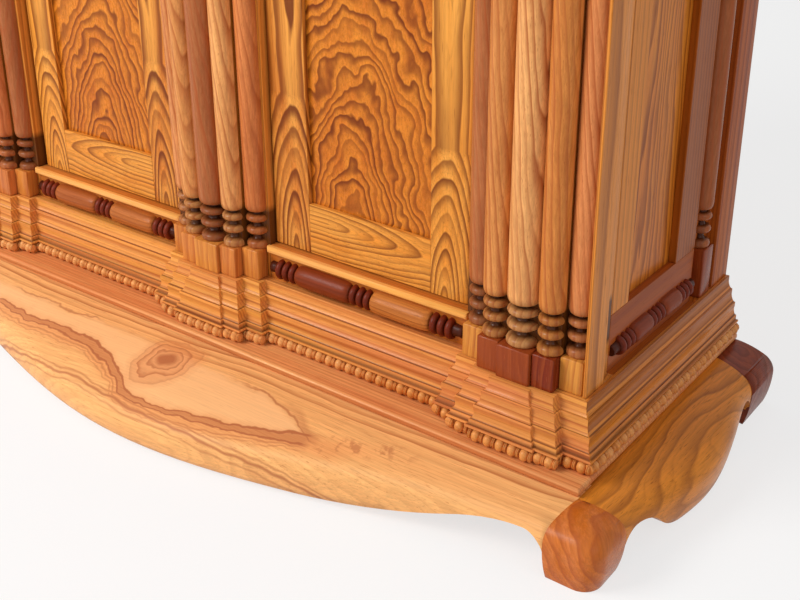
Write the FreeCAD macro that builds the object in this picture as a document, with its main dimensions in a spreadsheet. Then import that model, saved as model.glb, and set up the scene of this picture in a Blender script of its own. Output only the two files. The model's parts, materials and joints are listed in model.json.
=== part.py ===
import FreeCAD, Part
import math
import os
import Sketcher

# Altar cabinet with two doors, clusters of split columns and a fish-belly stand on kneeling feet.
# Millimetres. +Z is up, the front faces -Y, and the origin is on the floor under the middle of the cabinet.

doc = FreeCAD.newDocument("AltarCabinet")
sheet = doc.addObject("Spreadsheet::Sheet", "dims")

DIMENSIONS = {
    # Overall
    "half_width": (556.5, "middle to the outer face of a corner post"),
    "front_plane": (-70.5, "face of the posts and rails"),
    "back_plane": (289.5, "back of the cabinet"),
    "total_height": (1070, "floor to the top"),
    "ledge_height": (213, "floor to the ledge under the doors"),
    "column_pitch": (473, "from one column cluster to the next"),
    # Stand
    "stand_height": (78, "floor to the base board"),
    "board_thick": (10, "base board"),
    "board_front": (70, "base board in front of the posts"),
    "board_side": (25, "base board beyond the posts"),
    "board_round": (4, "rounded edge of the base board"),
    "knee_bulge": (54, "knee in front of the board's edge"),
    "knee_drop": (31, "widest level of a knee under the board"),
    "nose_out": (12.7, "round nose of the bulge, forward"),
    "nose_drop": (21.1, "round nose of the bulge, downward"),
    "belly_sag": (0.175, "how far the widest level sinks with the belly"),
    "shoulder_ease": (1.25, "shoulder's radius to one that starts level"),
    "foot_tuck": (8, "foot behind the knee"),
    "foot_depth": (40, "apron at the floor, front to back"),
    "front_belly": (95, "front apron's middle in front of the knees"),
    "side_belly": (25, "side apron's middle beyond the knees"),
    "belly_gap": (8, "floor to the belly of an apron"),
    "front_bracket": (27, "round bracket beside a front foot"),
    "front_shoulder": (255, "upper curve of the front apron's lower edge"),
    "front_curve": (600, "lower curve of the front apron's lower edge"),
    "front_slope": (0.3333, "slope between the two curves, as a sine"),
    "side_bracket": (26, "round bracket beside a side foot"),
    "side_shoulder": (60, "upper curve of a side apron's lower edge"),
    "side_curve": (60, "lower curve of a side apron's lower edge"),
    "side_slope": (0.75, "slope between the two curves, as a sine"),
    "ankle_inset": (9.5, "bracket's end inside the board's edge"),
    "leg_size": (30, "square leg inside the apron's corner"),
    "neck_size": (12, "leg's reach into the knee"),
    "neck_high": (60, "floor to the top of the neck"),
    "joint_tilt": (0.2, "slant of the joints beside a knee"),
    "rear_foot": (62, "rear foot, front to back"),
    "stand_rail": (22, "back rail of the stand, front to back"),
    "stand_rail_up": (20, "floor to the back rail"),
    # Base moulding and cornice
    "moulding_high": (79, "base moulding"),
    "cornice_high": (54, "cornice"),
    "lip_out": (5, "moulding's edge in front of the pedestals"),
    "lip_high": (6, "height of the moulding's edge"),
    "upper_out": (11, "upper fillet, forward"),
    "upper_hollow": (11, "height of the upper hollow"),
    "upper_fillet": (5, "height of the upper fillet"),
    "lower_out": (17, "lower fillet, forward"),
    "lower_hollow": (13, "height of the lower hollow"),
    "lower_fillet": (6, "height of the lower fillet"),
    "band_out": (20.5, "band behind the beads, forward"),
    "band_hollow": (12, "height of the hollow over the band"),
    "fillet_set": (2, "fillet in front of the hollow over it"),
    "hollow_ease": (1.3, "a hollow's radius to its height"),
    "cap_out": (24, "cap over the beads, forward"),
    "cap_high": (3, "height of the cap over the beads"),
    "bead_radius": (8, "bead strip"),
    "bead_play": (0.25, "play under and over the bead strip"),
    # Columns
    "cluster_width": (167, "post under one cluster"),
    "small_pitch": (28.2, "outer column to the next"),
    "large_pitch": (35.3, "middle column to the next"),
    "small_radius": (15.8, "shaft of a small column"),
    "large_radius": (19.4, "shaft of a large column"),
    "side_radius": (14, "shaft of a side column"),
    "column_gap": (0.1, "outer column to the post's raised middle"),
    "step_face": (14.5, "post's raised middle"),
    "reach_bay": (7, "moulding's line in front of the rails"),
    "reach_outer": (19.5, "outer pedestals in front of the posts"),
    "reach_inner": (32.5, "inner pedestals in front of the posts"),
    "reach_middle": (37, "middle pedestal in front of the posts"),
    "pedestal_high": (41, "pedestals and capital blocks"),
    "pedestal_bevel": (3, "bevel of a pedestal's upper edges"),
    "side_pedestal": (66.5, "pedestal of a side column"),
    "bobbin_high": (54, "turned bobbin at a column's end"),
    # Carcass
    "post_depth": (44, "front posts, front to back"),
    "strip_thick": (4, "strip beside the outer column of a corner post"),
    "strip_deep": (21.5, "corner post's side face behind the front plane"),
    "stop_depth": (11, "door stop behind a post"),
    "stop_width": (10, "door stop beside a post"),
    "top_thick": (26, "top board"),
    "top_front": (74, "top board in front of the posts"),
    "top_side": (42, "top board beyond the posts"),
    "top_ovolo": (8, "round under the top board's edge"),
    "side_recess": (8, "side frame behind the posts' side face"),
    "side_ledge": (25.5, "top of the lower side rail over the ledge"),
    "side_front": (85, "side panel's front edge behind the front plane"),
    "side_back": (208, "side panel's back edge behind the front plane"),
    "rear_post": (262, "rear post's front edge behind the front plane"),
    "rear_strip": (312, "rear post's outer strip behind the front plane"),
    "rear_niche": (14, "depth of the niche for the side column"),
    "panel_thick": (10, "panels"),
    "panel_tongue": (6, "panel edge in its groove"),
    "back_inset": (4, "back panel inside the back plane"),
    "floor_drop": (6, "inner floor under the ledge"),
    "floor_thick": (14, "floor panel"),
    "partition_thick": (18, "partition"),
    # Ledges and spindles
    "ledge_out": (7, "ledge's nose in front of the rails"),
    "ledge_thick": (9, "ledge's nose"),
    "ledge_round": (4, "rounded edge of the ledge's nose"),
    "ledge_over": (2.5, "ledge's ends over the posts"),
    "spindle_radius": (15, "split spindle of a bay"),
    "side_spindle": (13, "split spindle of a side"),
    "spindle_margin": (3, "spindle end to the end of its rail"),
    "spindle_drop": (28.5, "front spindle under the ledge"),
    "side_spindle_drop": (20, "side spindle under the ledge"),
    "ring_pitch": (11, "one ring of a spindle to the next"),
    "spindle_neck": (12, "neck at a spindle's end"),
    # Doors
    "door_gap": (2, "gap round a door"),
    "door_inset": (10, "door behind the front plane"),
    "door_thick": (22, "stiles and rails"),
    "stile_width": (58, "door stiles"),
    "rail_width": (66.5, "door rails"),
    "panel_inset": (7, "panel behind the door's face"),
    "knob_radius": (11, "knob"),
    "knob_long": (24, "knob in front of the door"),
    "pivot_radius": (4, "pivot pin"),
    "pivot_play": (0.05, "play round a pivot pin in its socket"),
    "pivot_socket": (14, "depth of a pivot's socket"),
    "pivot_long": (12, "pivot pin in its socket"),
    "pivot_tail": (26, "pivot pin in the stile"),
    "collar_radius": (7.5, "collar under the stile"),
    "collar_gap": (0.4, "collar over the ledge"),
}


class Size:
    """A length with its value and the sheet formula that it comes from."""

    def __init__(self, amount, text):
        self.amount = amount
        self.text = text

    def __add__(self, other):
        other = size(other)
        return Size(self.amount + other.amount, f"({self.text} + {other.text})")

    def __sub__(self, other):
        other = size(other)
        return Size(self.amount - other.amount, f"({self.text} - {other.text})")

    def __mul__(self, other):
        other = size(other)
        return Size(self.amount * other.amount, f"({self.text} * {other.text})")

    def __truediv__(self, other):
        other = size(other)
        return Size(self.amount / other.amount, f"({self.text} / {other.text})")

    def __radd__(self, other):
        return size(other) + self

    def __rsub__(self, other):
        return size(other) - self

    def __rmul__(self, other):
        return size(other) * self

    def __neg__(self):
        return Size(-self.amount, f"(-{self.text})")

    def root(self):
        return Size(math.sqrt(self.amount), f"sqrt({self.text})")


def size(number):
    """A plain number as a Size."""
    if isinstance(number, Size):
        return number
    return Size(number, f"({number})")


class Dimensions:
    """The sheet's cells by name."""


d = Dimensions()
for row, (name, (amount, note)) in enumerate(DIMENSIONS.items(), start=1):
    sheet.set(f"A{row}", note)
    sheet.set(f"B{row}", str(amount))
    sheet.setAlias(f"B{row}", name)
    setattr(d, name, Size(amount, f"dims.{name}"))
doc.recompute()

# Sizes that follow from the driving dimensions
FLOOR = size(0)
MARGIN = 5
FAR = 200
board_top = d.stand_height + d.board_thick
moulding_top = board_top + d.moulding_high
cornice_top = d.total_height - d.top_thick
cornice_foot = cornice_top - d.cornice_high
board_edge_x = d.half_width + d.board_side
board_edge_y = d.front_plane - d.board_front
column_foot = moulding_top + d.pedestal_high
column_head = cornice_foot - d.pedestal_high
ledge_top = cornice_foot - (d.ledge_height - moulding_top)
half_cluster = d.cluster_width / 2
outer_column = d.small_pitch + d.large_pitch
raised_face = d.front_plane - d.step_face
raised_half = outer_column - d.small_radius - d.column_gap
mitre_y = d.front_plane - d.reach_outer
bead_high = 2 * (d.bead_radius + d.bead_play)
step_edges = (
    outer_column + d.small_pitch / 2,
    d.large_pitch + d.small_pitch / 2,
    d.large_pitch - d.small_pitch / 2,
)
step_reaches = (d.reach_outer, d.reach_inner, d.reach_middle)
inner_side = d.half_width - d.post_depth
side_face = d.half_width - d.side_recess
niche_face = d.half_width - d.rear_niche
niche_middle = d.front_plane + (d.rear_post + d.rear_strip) / 2
post_back = d.front_plane + d.post_depth
rail_back = post_back - d.stop_depth
rear_joint = d.back_plane - d.rear_foot
bay_left = half_cluster
bay_right = d.column_pitch - half_cluster
door_left = bay_left + d.door_gap
door_right = bay_right - d.door_gap
door_foot = d.ledge_height + d.door_gap
door_head = ledge_top - d.door_gap
door_face = d.front_plane + d.door_inset
door_back = door_face + d.door_thick
pivot_x = door_right - d.door_thick / 2
pivot_y = door_face + d.door_thick / 2

# Turned shapes, as shares of the radius and of the bobbin's height
BOBBIN_MARKS = (
    (0.80, 0), (0.88, 0.045), (0.88, 0.165), (0.60, 0.23), (0.45, 0.295),
    (0.78, 0.40), (0.88, 0.455), (0.78, 0.51), (0.42, 0.60),
    (0.78, 0.705), (0.88, 0.76), (0.78, 0.815), (0.42, 0.90),
)
SHAFT_MARKS = ((0.72, 0.96), (0.93, 1.055), (1, 1.185))

# Turned shapes of a spindle, as shares of the radius and of the length of a ring or a barrel
RING_COUNT = 3
RING_MARKS = ((0.62, 0), (0.92, 0.2), (0.92, 0.8))
BARREL_MARKS = ((0.82, 0.01), (0.95, 0.08), (1, 0.22), (1, 0.78), (0.95, 0.92), (0.82, 0.99))
TIP_SHARE = 0.55

nodes = {}


def keep(label, item):
    """Name a finished sub-part."""
    item.Label = label
    nodes[label] = item
    return item


def new_body(label):
    return doc.addObject("PartDesign::Body", label)


def attach(item, body, plane):
    """Lay a sketch or a primitive on one of the body's own origin planes."""
    support = [base for base in body.Origin.OriginFeatures if base.Role == f"{plane}_Plane"]
    item.AttachmentSupport = [(support[0], "")]
    item.MapMode = "FlatFace"


def new_sketch(body, plane, offset):
    """An empty sketch, moved along its plane's normal."""
    sketch = body.newObject("Sketcher::SketchObject", f"{body.Name}_sketch")
    attach(sketch, body, plane)
    sketch.setExpression("AttachmentOffset.Base.z", size(offset).text)
    return sketch


def arc_middle(start, end, radius):
    """The middle of an arc of under half a turn. A positive radius bulges to the left of start to end."""
    chord = end - start
    half = chord.Length / 2
    rise = abs(radius) - math.sqrt(radius * radius - half * half)
    left = FreeCAD.Vector(-chord.y, chord.x, 0).normalize()
    return (start + end) / 2 + left * math.copysign(rise, radius)


def draw(sketch, corners, closed=True):
    """Lines and arcs through corners (x, y) or (x, y, radius of the arc to the next corner)."""
    count = len(corners)
    points = [FreeCAD.Vector(size(c[0]).amount, size(c[1]).amount, 0) for c in corners]
    ends = []
    for index in range(count if closed else count - 1):
        start = points[index]
        end = points[(index + 1) % count]
        if len(corners[index]) == 2:
            line = sketch.addGeometry(Part.LineSegment(start, end), False)
            ends.append((line, 1, 2))
            continue
        radius = size(corners[index][2])
        middle = arc_middle(start, end, radius.amount)
        arc = sketch.addGeometry(Part.Arc(start, middle, end), False)
        first = sketch.getPoint(arc, 1)
        ends.append((arc, 1, 2) if (first - start).Length < (first - end).Length else (arc, 2, 1))
        if radius.amount < 0:
            radius = -radius
        place = sketch.addConstraint(Sketcher.Constraint("Radius", arc, radius.amount))
        sketch.setExpression(f"Constraints[{place}]", radius.text)
    followers = ends[1:] + ends[:1] if closed else ends[1:]
    for (piece, _, last), (follower, first, _) in zip(ends, followers):
        sketch.addConstraint(Sketcher.Constraint("Coincident", piece, last, follower, first))
    anchors = [(piece, first) for piece, first, _ in ends]
    if not closed:
        anchors.append((ends[-1][0], ends[-1][2]))
    for (piece, spot), corner in zip(anchors, corners):
        for kind, part in (("DistanceX", size(corner[0])), ("DistanceY", size(corner[1]))):
            place = sketch.addConstraint(Sketcher.Constraint(kind, -1, 1, piece, spot, part.amount))
            sketch.setExpression(f"Constraints[{place}]", part.text)
    return sketch


def pad(body, plane, corners, start, end):
    """Add a prism from start to end along the axis across the plane."""
    offset = -size(end) if plane == "XZ" else size(start)
    feature = body.newObject("PartDesign::Pad", f"{body.Name}_pad")
    feature.Profile = draw(new_sketch(body, plane, offset), corners)
    feature.setExpression("Length", (size(end) - size(start)).text)
    return feature


def pocket(body, plane, corners, start, end):
    """Cut a prism from start to end along the axis across the plane."""
    offset = -size(start) if plane == "XZ" else size(end)
    feature = body.newObject("PartDesign::Pocket", f"{body.Name}_pocket")
    feature.Profile = draw(new_sketch(body, plane, offset), corners)
    feature.setExpression("Length", (size(end) - size(start)).text)
    return feature


def bore(body, x, y, low, high, radius):
    """Cut an upright round hole."""
    hole = body.newObject("PartDesign::SubtractiveCylinder", f"{body.Name}_bore")
    attach(hole, body, "XY")
    hole.setExpression("Radius", radius.text)
    hole.setExpression("Height", (high - low).text)
    for corner, move in (("x", x), ("y", y), ("z", low)):
        hole.setExpression(f"AttachmentOffset.Base.{corner}", move.text)
    return hole


def turn(body, plane, corners, axis, angle=360, backwards=False):
    """Turn an outline about the horizontal or vertical axis of its sketch."""
    feature = body.newObject("PartDesign::Revolution", f"{body.Name}_turning")
    sketch = draw(new_sketch(body, plane, 0), corners)
    feature.Profile = sketch
    feature.ReferenceAxis = (sketch, [axis])
    feature.Angle = angle
    feature.Reversed = backwards
    return feature


def pipe(body, profile, path, edge_count):
    """Sweep a profile along a path of straight runs with mitred corners."""
    feature = body.newObject("PartDesign::AdditivePipe", f"{body.Name}_pipe")
    feature.Profile = profile
    feature.Spine = (path, [f"Edge{number}" for number in range(1, edge_count + 1)])
    feature.Transition = "Right corner"
    return feature


def loft(body, sketches):
    """A smooth solid through cross-sections."""
    feature = body.newObject("PartDesign::AdditiveLoft", f"{body.Name}_loft")
    feature.Profile = sketches[0]
    feature.Sections = sketches[1:]
    return feature


def ease_edges(kind, body, base, chosen, amount):
    """Round or bevel the edges of the last feature that the chooser picks."""
    doc.recompute()
    names = [f"Edge{n}" for n, edge in enumerate(base.Shape.Edges, start=1) if chosen(edge.BoundBox)]
    feature = body.newObject(f"PartDesign::{kind}", f"{body.Name}_edges")
    feature.Base = (base, names)
    feature.setExpression("Radius" if kind == "Fillet" else "Size", amount.text)
    return feature


def box(label, x, y, z):
    """A plain board between three pairs of limits."""
    board = doc.addObject("Part::Box", label)
    for length, corner, (low, high) in zip(("Length", "Width", "Height"), "xyz", (x, y, z)):
        board.setExpression(length, (size(high) - size(low)).text)
        board.setExpression(f"Placement.Base.{corner}", size(low).text)
    return board


def reflect(source, normal=(1, 0, 0)):
    """The mirror image of a piece about a plane through the origin."""
    image = doc.addObject("Part::Mirroring", f"{source.Name}_mirrored")
    image.Source = source
    image.Normal = normal
    return image


def mirror(label, source):
    """The same piece on the other side of the cabinet's middle."""
    return keep(label, reflect(source))


def group(label, items):
    """Separate solids that share one name."""
    bundle = doc.addObject("Part::Compound", label)
    bundle.Links = items
    return keep(label, bundle)


def copy(source, x=0, y=0, z=0):
    """The same piece at another place."""
    link = doc.addObject("App::Link", f"{source.Name}_copy")
    link.LinkedObject = source
    for corner, move in (("x", x), ("y", y), ("z", z)):
        link.setExpression(f"Placement.Base.{corner}", size(move).text)
    return link


def rectangle(left, right, low, high):
    return [(left, low), (right, low), (right, high), (left, high)]


def bulge(edge, out, belly):
    """Cross-section of an apron: a cushion from the board's edge outwards, tucked in towards the floor."""
    top = d.stand_height
    drop = d.knee_drop + d.belly_sag * (belly - d.knee_bulge)
    flat = belly - d.nose_out
    fall = drop - d.nose_drop
    under = top - drop
    shoulder = d.shoulder_ease * (flat * flat + fall * fall) / (2 * fall)
    nose = (d.nose_out * d.nose_out + d.nose_drop * d.nose_drop) / (2 * d.nose_out)
    shin = (d.foot_tuck * d.foot_tuck + under * under) / (2 * d.foot_tuck)
    return [
        (edge, top, out * shoulder),
        (edge + out * flat, top - fall, out * nose),
        (edge + out * belly, under, out * shin),
        (edge + out * (belly - d.foot_tuck), FLOOR),
        (edge + out * (belly - d.foot_tuck - d.foot_depth), FLOOR),
        (edge - out * d.leg_size, top * 0.6),
        (edge - out * d.leg_size, top),
    ]


def waves(start, end, count):
    """Even stations from start to end, each with its share of the belly, a smooth wave."""
    for index in range(count):
        share = index / (count - 1)
        yield start + (end - start) * share, (1 - math.cos(2 * math.pi * share)) / 2


def lower_edge(middle, reach, bracket, shoulder, curve, slope):
    """What is cut from under an apron: flat under the belly, then rising in two curves to round brackets."""
    rise = 1 - (1 - slope * slope).root()
    bracket_top = d.belly_gap + rise * (shoulder + curve)
    ankle = reach - d.ankle_inset
    run = slope * shoulder
    right = [
        (reach + MARGIN, -MARGIN),
        (reach + MARGIN, bracket_top - bracket),
        (ankle, bracket_top - bracket),
        (ankle - bracket, bracket_top),
        (ankle - bracket - run, bracket_top - rise * shoulder),
        (ankle - bracket - run - slope * curve, d.belly_gap),
    ]
    left = [(-x, z) for x, z in reversed(right)]
    bends = (None, None, -bracket, -shoulder, curve, None, curve, -shoulder, -bracket, None, None, None)
    corners = [(middle + x, z) for x, z in right + left]
    return [corner if bend is None else (*corner, bend) for corner, bend in zip(corners, bends)]


def corner_joint(neck):
    """Plan of the corner that a front foot takes from an apron: its leg and its knee."""
    return [
        (board_edge_x - d.leg_size, board_edge_y + 2 * d.leg_size),
        (board_edge_x - d.leg_size, board_edge_y - neck),
        (board_edge_x - neck * d.joint_tilt, board_edge_y - neck),
        (board_edge_x - FAR * d.joint_tilt, board_edge_y - FAR),
        (board_edge_x + FAR, board_edge_y - FAR),
        (board_edge_x + FAR, board_edge_y + 2 * d.leg_size),
    ]


def turn_corner(corners):
    """The same plan seen from the cabinet's other face, across the corner's diagonal."""
    return [(board_edge_x - (y - board_edge_y), board_edge_y - (x - board_edge_x)) for x, y in corners]


def knee_plan(reach):
    """Plan of a front foot's knee, between two slanting joints that meet at the board's corner."""
    return [
        (board_edge_x + reach, board_edge_y + reach * d.joint_tilt),
        (board_edge_x, board_edge_y),
        (board_edge_x - reach * d.joint_tilt, board_edge_y - reach),
    ]


def make_front_apron():
    """The front apron: its belly swells forward and hangs down between the feet."""
    body = new_body("apron_front")
    sections = []
    for station, share in waves(-board_edge_x, board_edge_x, 9):
        outline = bulge(board_edge_y, -1, d.knee_bulge + d.front_belly * share)
        sections.append(draw(new_sketch(body, "YZ", station), outline))
    loft(body, sections)
    waste = lower_edge(FLOOR, board_edge_x, d.front_bracket, d.front_shoulder, d.front_curve, d.front_slope)
    pocket(body, "XZ", waste, board_edge_y - FAR, board_edge_y + FAR)
    knee_corner = knee_plan(size(FAR)) + [(board_edge_x + FAR, board_edge_y - FAR)]
    for side in (1, -1):
        leg = [(side * x, y) for x, y in corner_joint(d.neck_size)]
        knee = [(side * x, y) for x, y in knee_corner]
        pocket(body, "XY", leg, FLOOR - MARGIN, d.neck_high)
        pocket(body, "XY", knee, d.neck_high, d.stand_height + MARGIN)
    keep("apron_front", body)


def make_side_aprons():
    """The side aprons, with a shallower belly."""
    body = new_body("apron_right")
    sections = []
    for station, share in waves(board_edge_y, rear_joint, 5):
        outline = bulge(board_edge_x, 1, d.knee_bulge + d.side_belly * share)
        sections.append(draw(new_sketch(body, "XZ", -station), outline))
    loft(body, sections)
    middle = (board_edge_y + rear_joint) / 2
    reach = (rear_joint - board_edge_y) / 2
    waste = lower_edge(middle, reach, d.side_bracket, d.side_shoulder, d.side_curve, d.side_slope)
    pocket(body, "YZ", waste, board_edge_x - FAR, board_edge_x + FAR)
    pocket(body, "XY", turn_corner(corner_joint(d.neck_size)), FLOOR - MARGIN, d.neck_high)
    pocket(body, "XY", turn_corner(corner_joint(FLOOR)), d.neck_high, d.stand_height + MARGIN)
    behind = [
        (board_edge_x, rear_joint),
        (board_edge_x + FAR, rear_joint - FAR * d.joint_tilt),
        (board_edge_x + FAR, rear_joint + MARGIN),
        (board_edge_x, rear_joint + MARGIN),
    ]
    pocket(body, "XY", behind, FLOOR - MARGIN, d.stand_height + MARGIN)
    keep("apron_right", body)
    mirror("apron_left", body)


def knee(edge, out):
    """Outline of a foot: the bulge in front of a square leg that stands on the floor."""
    outline = bulge(edge, out, d.knee_bulge)
    return outline[:4] + [(edge - out * d.leg_size, FLOOR), outline[-1]]


def knee_waste(edge, out):
    """What is cut away outside a knee."""
    curve = bulge(edge, out, d.knee_bulge)[:4]
    far = edge + out * 2 * d.knee_bulge
    above = d.stand_height + MARGIN
    return curve + [(curve[3][0], FLOOR - MARGIN), (far, FLOOR - MARGIN), (far, above), (edge, above)]


def make_feet():
    """Kneeling feet: the knee bulges out on the outer sides and tucks in towards the floor."""
    reach = d.knee_bulge + MARGIN
    front = new_body("foot_front_right")
    pad(front, "YZ", knee(board_edge_y, -1), board_edge_x - d.leg_size, board_edge_x + d.knee_bulge)
    pocket(front, "XZ", knee_waste(board_edge_x, 1), board_edge_y - FAR, board_edge_y + FAR)
    neck = d.neck_size
    inside = board_edge_x - 2 * d.leg_size
    beside = [
        (inside, board_edge_y - neck),
        (board_edge_x - neck * d.joint_tilt, board_edge_y - neck),
        (board_edge_x - reach * d.joint_tilt, board_edge_y - reach),
        (inside, board_edge_y - reach),
    ]
    behind = [
        (inside, board_edge_y - reach),
        (inside, board_edge_y + 2 * d.leg_size),
        (board_edge_x + reach, board_edge_y + 2 * d.leg_size),
    ]
    pocket(front, "XY", beside, FLOOR - MARGIN, d.neck_high)
    pocket(front, "XY", turn_corner(beside), FLOOR - MARGIN, d.neck_high)
    pocket(front, "XY", knee_plan(reach) + behind, d.neck_high, d.stand_height + MARGIN)
    keep("foot_front_right", front)
    mirror("foot_front_left", front)

    rear = new_body("foot_rear_right")
    slant = reach * d.joint_tilt
    pad(rear, "XZ", knee(board_edge_x, 1), rear_joint - slant, d.back_plane)
    beside = [
        (board_edge_x - 2 * d.leg_size, rear_joint - slant - MARGIN),
        (board_edge_x + reach, rear_joint - slant - MARGIN),
        (board_edge_x + reach, rear_joint - slant),
        (board_edge_x, rear_joint),
        (board_edge_x - 2 * d.leg_size, rear_joint),
    ]
    pocket(rear, "XY", beside, FLOOR - MARGIN, d.stand_height + MARGIN)
    keep("foot_rear_right", rear)
    mirror("foot_rear_left", rear)

    rail_end = board_edge_x - d.leg_size
    depth = (d.back_plane - d.stand_rail, d.back_plane)
    height = (d.stand_rail_up, d.stand_height)
    keep("stand_rail_back", box("stand_rail_back", (-rail_end, rail_end), depth, height))


def make_base_board():
    """The board on the stand, with a rounded edge at the front and the sides."""
    body = new_body("base_board")
    outline = rectangle(-board_edge_x, board_edge_x, board_edge_y, d.back_plane)
    board = pad(body, "XY", outline, d.stand_height, board_top)
    back = d.back_plane.amount
    ease_edges("Fillet", body, board, lambda b: b.ZLength < 1 and b.YMin < back - 1, d.board_round)
    keep("base_board", body)


def cluster_steps(place, out):
    """Left to right, the corners of the steps round one cluster. A corner post has no outer step."""
    corners = []
    for sign, order in ((-1, (0, 1, 2)), (1, (2, 1, 0))):
        for level in order:
            if level == 0 and sign == place:
                continue
            x = place * d.column_pitch + sign * (step_edges[level] + out)
            outer = d.front_plane - out - (step_reaches[level - 1] if level else d.reach_bay)
            inner = d.front_plane - out - step_reaches[level]
            corners += [(x, outer), (x, inner)] if sign < 0 else [(x, inner), (x, outer)]
    return corners


def broken_path(out, overrun):
    """Front line of a moulding: it breaks forward in three steps round each cluster of columns."""
    end = d.half_width + out + overrun
    line = mitre_y - out
    steps = [corner for place in (-1, 0, 1) for corner in cluster_steps(place, out)]
    return [(-end, line)] + steps + [(end, line)]


def stepped_profile(top, down, out, tiers):
    """From the pedestals outwards: an edge, then hollows and fillets. Down is 1 or, for a cornice, -1."""
    level = top - down * d.lip_high
    corners = [(size(0), top), (out * d.lip_out, top)]
    reach = d.lip_out
    for forward, hollow, fillet in tiers:
        corners.append((out * reach, level, -down * out * d.hollow_ease * hollow))
        level = level - down * hollow
        corners += [(out * (forward - d.fillet_set), level), (out * forward, level)]
        level = level - down * fillet
        reach = forward
    return corners


def moulding_profile(out, wall):
    """The base moulding's cross-section, with a cap over the beads."""
    tiers = (
        (d.upper_out, d.upper_hollow, d.upper_fillet),
        (d.lower_out, d.lower_hollow, d.lower_fillet),
        (d.band_out, d.band_hollow, FLOOR),
    )
    cap_foot = board_top + bead_high
    outline = stepped_profile(moulding_top, 1, out, tiers) + [
        (out * d.band_out, cap_foot + d.cap_high),
        (out * d.cap_out, cap_foot + d.cap_high),
        (out * d.cap_out, cap_foot),
        (out * d.band_out, cap_foot),
        (out * d.band_out, board_top),
        (out * FLOOR, board_top),
    ]
    return [(wall + x, *rest) for x, *rest in outline]


def cornice_profile(out, wall):
    """The cornice's cross-section: the base moulding's upper steps upside down."""
    tiers = (
        (d.upper_out, d.upper_hollow, d.upper_fillet),
        (d.lower_out, d.lower_hollow, FLOOR),
    )
    outline = stepped_profile(cornice_foot, -1, out, tiers)
    outline += [(out * d.lower_out, cornice_top), (out * FLOOR, cornice_top)]
    return [(wall + x, *rest) for x, *rest in outline]


def front_mitre(side, x, y, reach):
    """What is cut from a front moulding beyond its mitre."""
    far = x + 2 * reach
    outline = [(x, y + reach), (x, y), (x + reach, y - reach), (far, y - reach), (far, y + reach)]
    return [(side * across, depth) for across, depth in outline]


def side_mitre(x, y, reach):
    """What is cut from a side moulding in front of its mitre."""
    return [(x - reach, y - 2 * reach), (x - reach, y + reach), (x + 2 * reach, y - 2 * reach)]


def make_moulding(label, profile, low, high):
    """A moulding in three lengths with mitred corners. The front one breaks forward round the clusters."""
    reach = 2 * d.band_out
    front = new_body(f"{label}_front")
    corners = broken_path(FLOOR, reach)
    path = draw(new_sketch(front, "XY", low), corners, closed=False)
    section = draw(new_sketch(front, "YZ", corners[0][0]), profile(-1, corners[0][1]))
    pipe(front, section, path, len(corners) - 1)
    behind = [(d.half_width, d.front_plane), (-d.half_width, d.front_plane)]
    pad(front, "XY", broken_path(FLOOR, FLOOR) + behind, low, high)
    for side in (-1, 1):
        pocket(front, "XY", front_mitre(side, d.half_width, mitre_y, reach), low - MARGIN, high + MARGIN)
    keep(f"{label}_front", front)

    right = new_body(f"{label}_right")
    pad(right, "XZ", profile(1, d.half_width), mitre_y - reach, d.back_plane)
    pocket(right, "XY", side_mitre(d.half_width, mitre_y, reach), low - MARGIN, high + MARGIN)
    keep(f"{label}_right", right)
    mirror(f"{label}_left", right)


def make_bead_strips():
    """Half-round strips on the band of the base moulding, standing on the base board."""
    low = board_top + d.bead_play
    high = low + 2 * d.bead_radius
    middle = (low + high) / 2
    corner_x = d.half_width + d.band_out
    corner_y = mitre_y - d.band_out
    reach = 3 * d.bead_radius

    def half_round(out, wall):
        bend = -out * d.bead_radius
        return [(wall, low, bend), (wall + out * d.bead_radius, middle, bend), (wall, high)]

    front = new_body("bead_strip_front")
    corners = broken_path(d.band_out, 2 * d.bead_radius)
    path = draw(new_sketch(front, "XY", middle), corners, closed=False)
    section = draw(new_sketch(front, "YZ", corners[0][0]), half_round(-1, corners[0][1]))
    pipe(front, section, path, len(corners) - 1)
    for side in (-1, 1):
        pocket(front, "XY", front_mitre(side, corner_x, corner_y, reach), low - MARGIN, high + MARGIN)
    keep("bead_strip_front", front)

    right = new_body("bead_strip_right")
    pad(right, "XZ", half_round(1, corner_x), corner_y - 2 * d.bead_radius, d.back_plane)
    pocket(right, "XY", side_mitre(corner_x, corner_y, reach), low - MARGIN, high + MARGIN)
    keep("bead_strip_right", right)
    mirror("bead_strip_left", right)


def make_front_post(label, centre, corner):
    """A front post with a raised middle behind the inner columns and door stops at the back."""
    left = centre - half_cluster
    right = centre + half_cluster
    section = [
        (left, rail_back),
        (left, d.front_plane),
        (right, d.front_plane),
        (right, post_back),
        (left - d.stop_width, post_back),
        (left - d.stop_width, rail_back),
    ]
    body = new_body(label)
    pad(body, "XY", section, board_top, cornice_top)
    raised = rectangle(centre - raised_half, centre + raised_half, raised_face, d.front_plane)
    pad(body, "XY", raised, moulding_top, cornice_foot)
    if corner:
        strip = rectangle(right - d.strip_thick, right, mitre_y, d.front_plane)
        pad(body, "XY", strip, moulding_top, cornice_foot)
        shoulder = d.front_plane + d.strip_deep
        rebate = rectangle(side_face, right + MARGIN, shoulder, post_back + MARGIN)
        pocket(body, "XY", rebate, moulding_top, cornice_foot)
    else:
        stop = rectangle(right, right + d.stop_width, rail_back, post_back)
        pad(body, "XY", stop, board_top, cornice_top)
    return keep(label, body)


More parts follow.
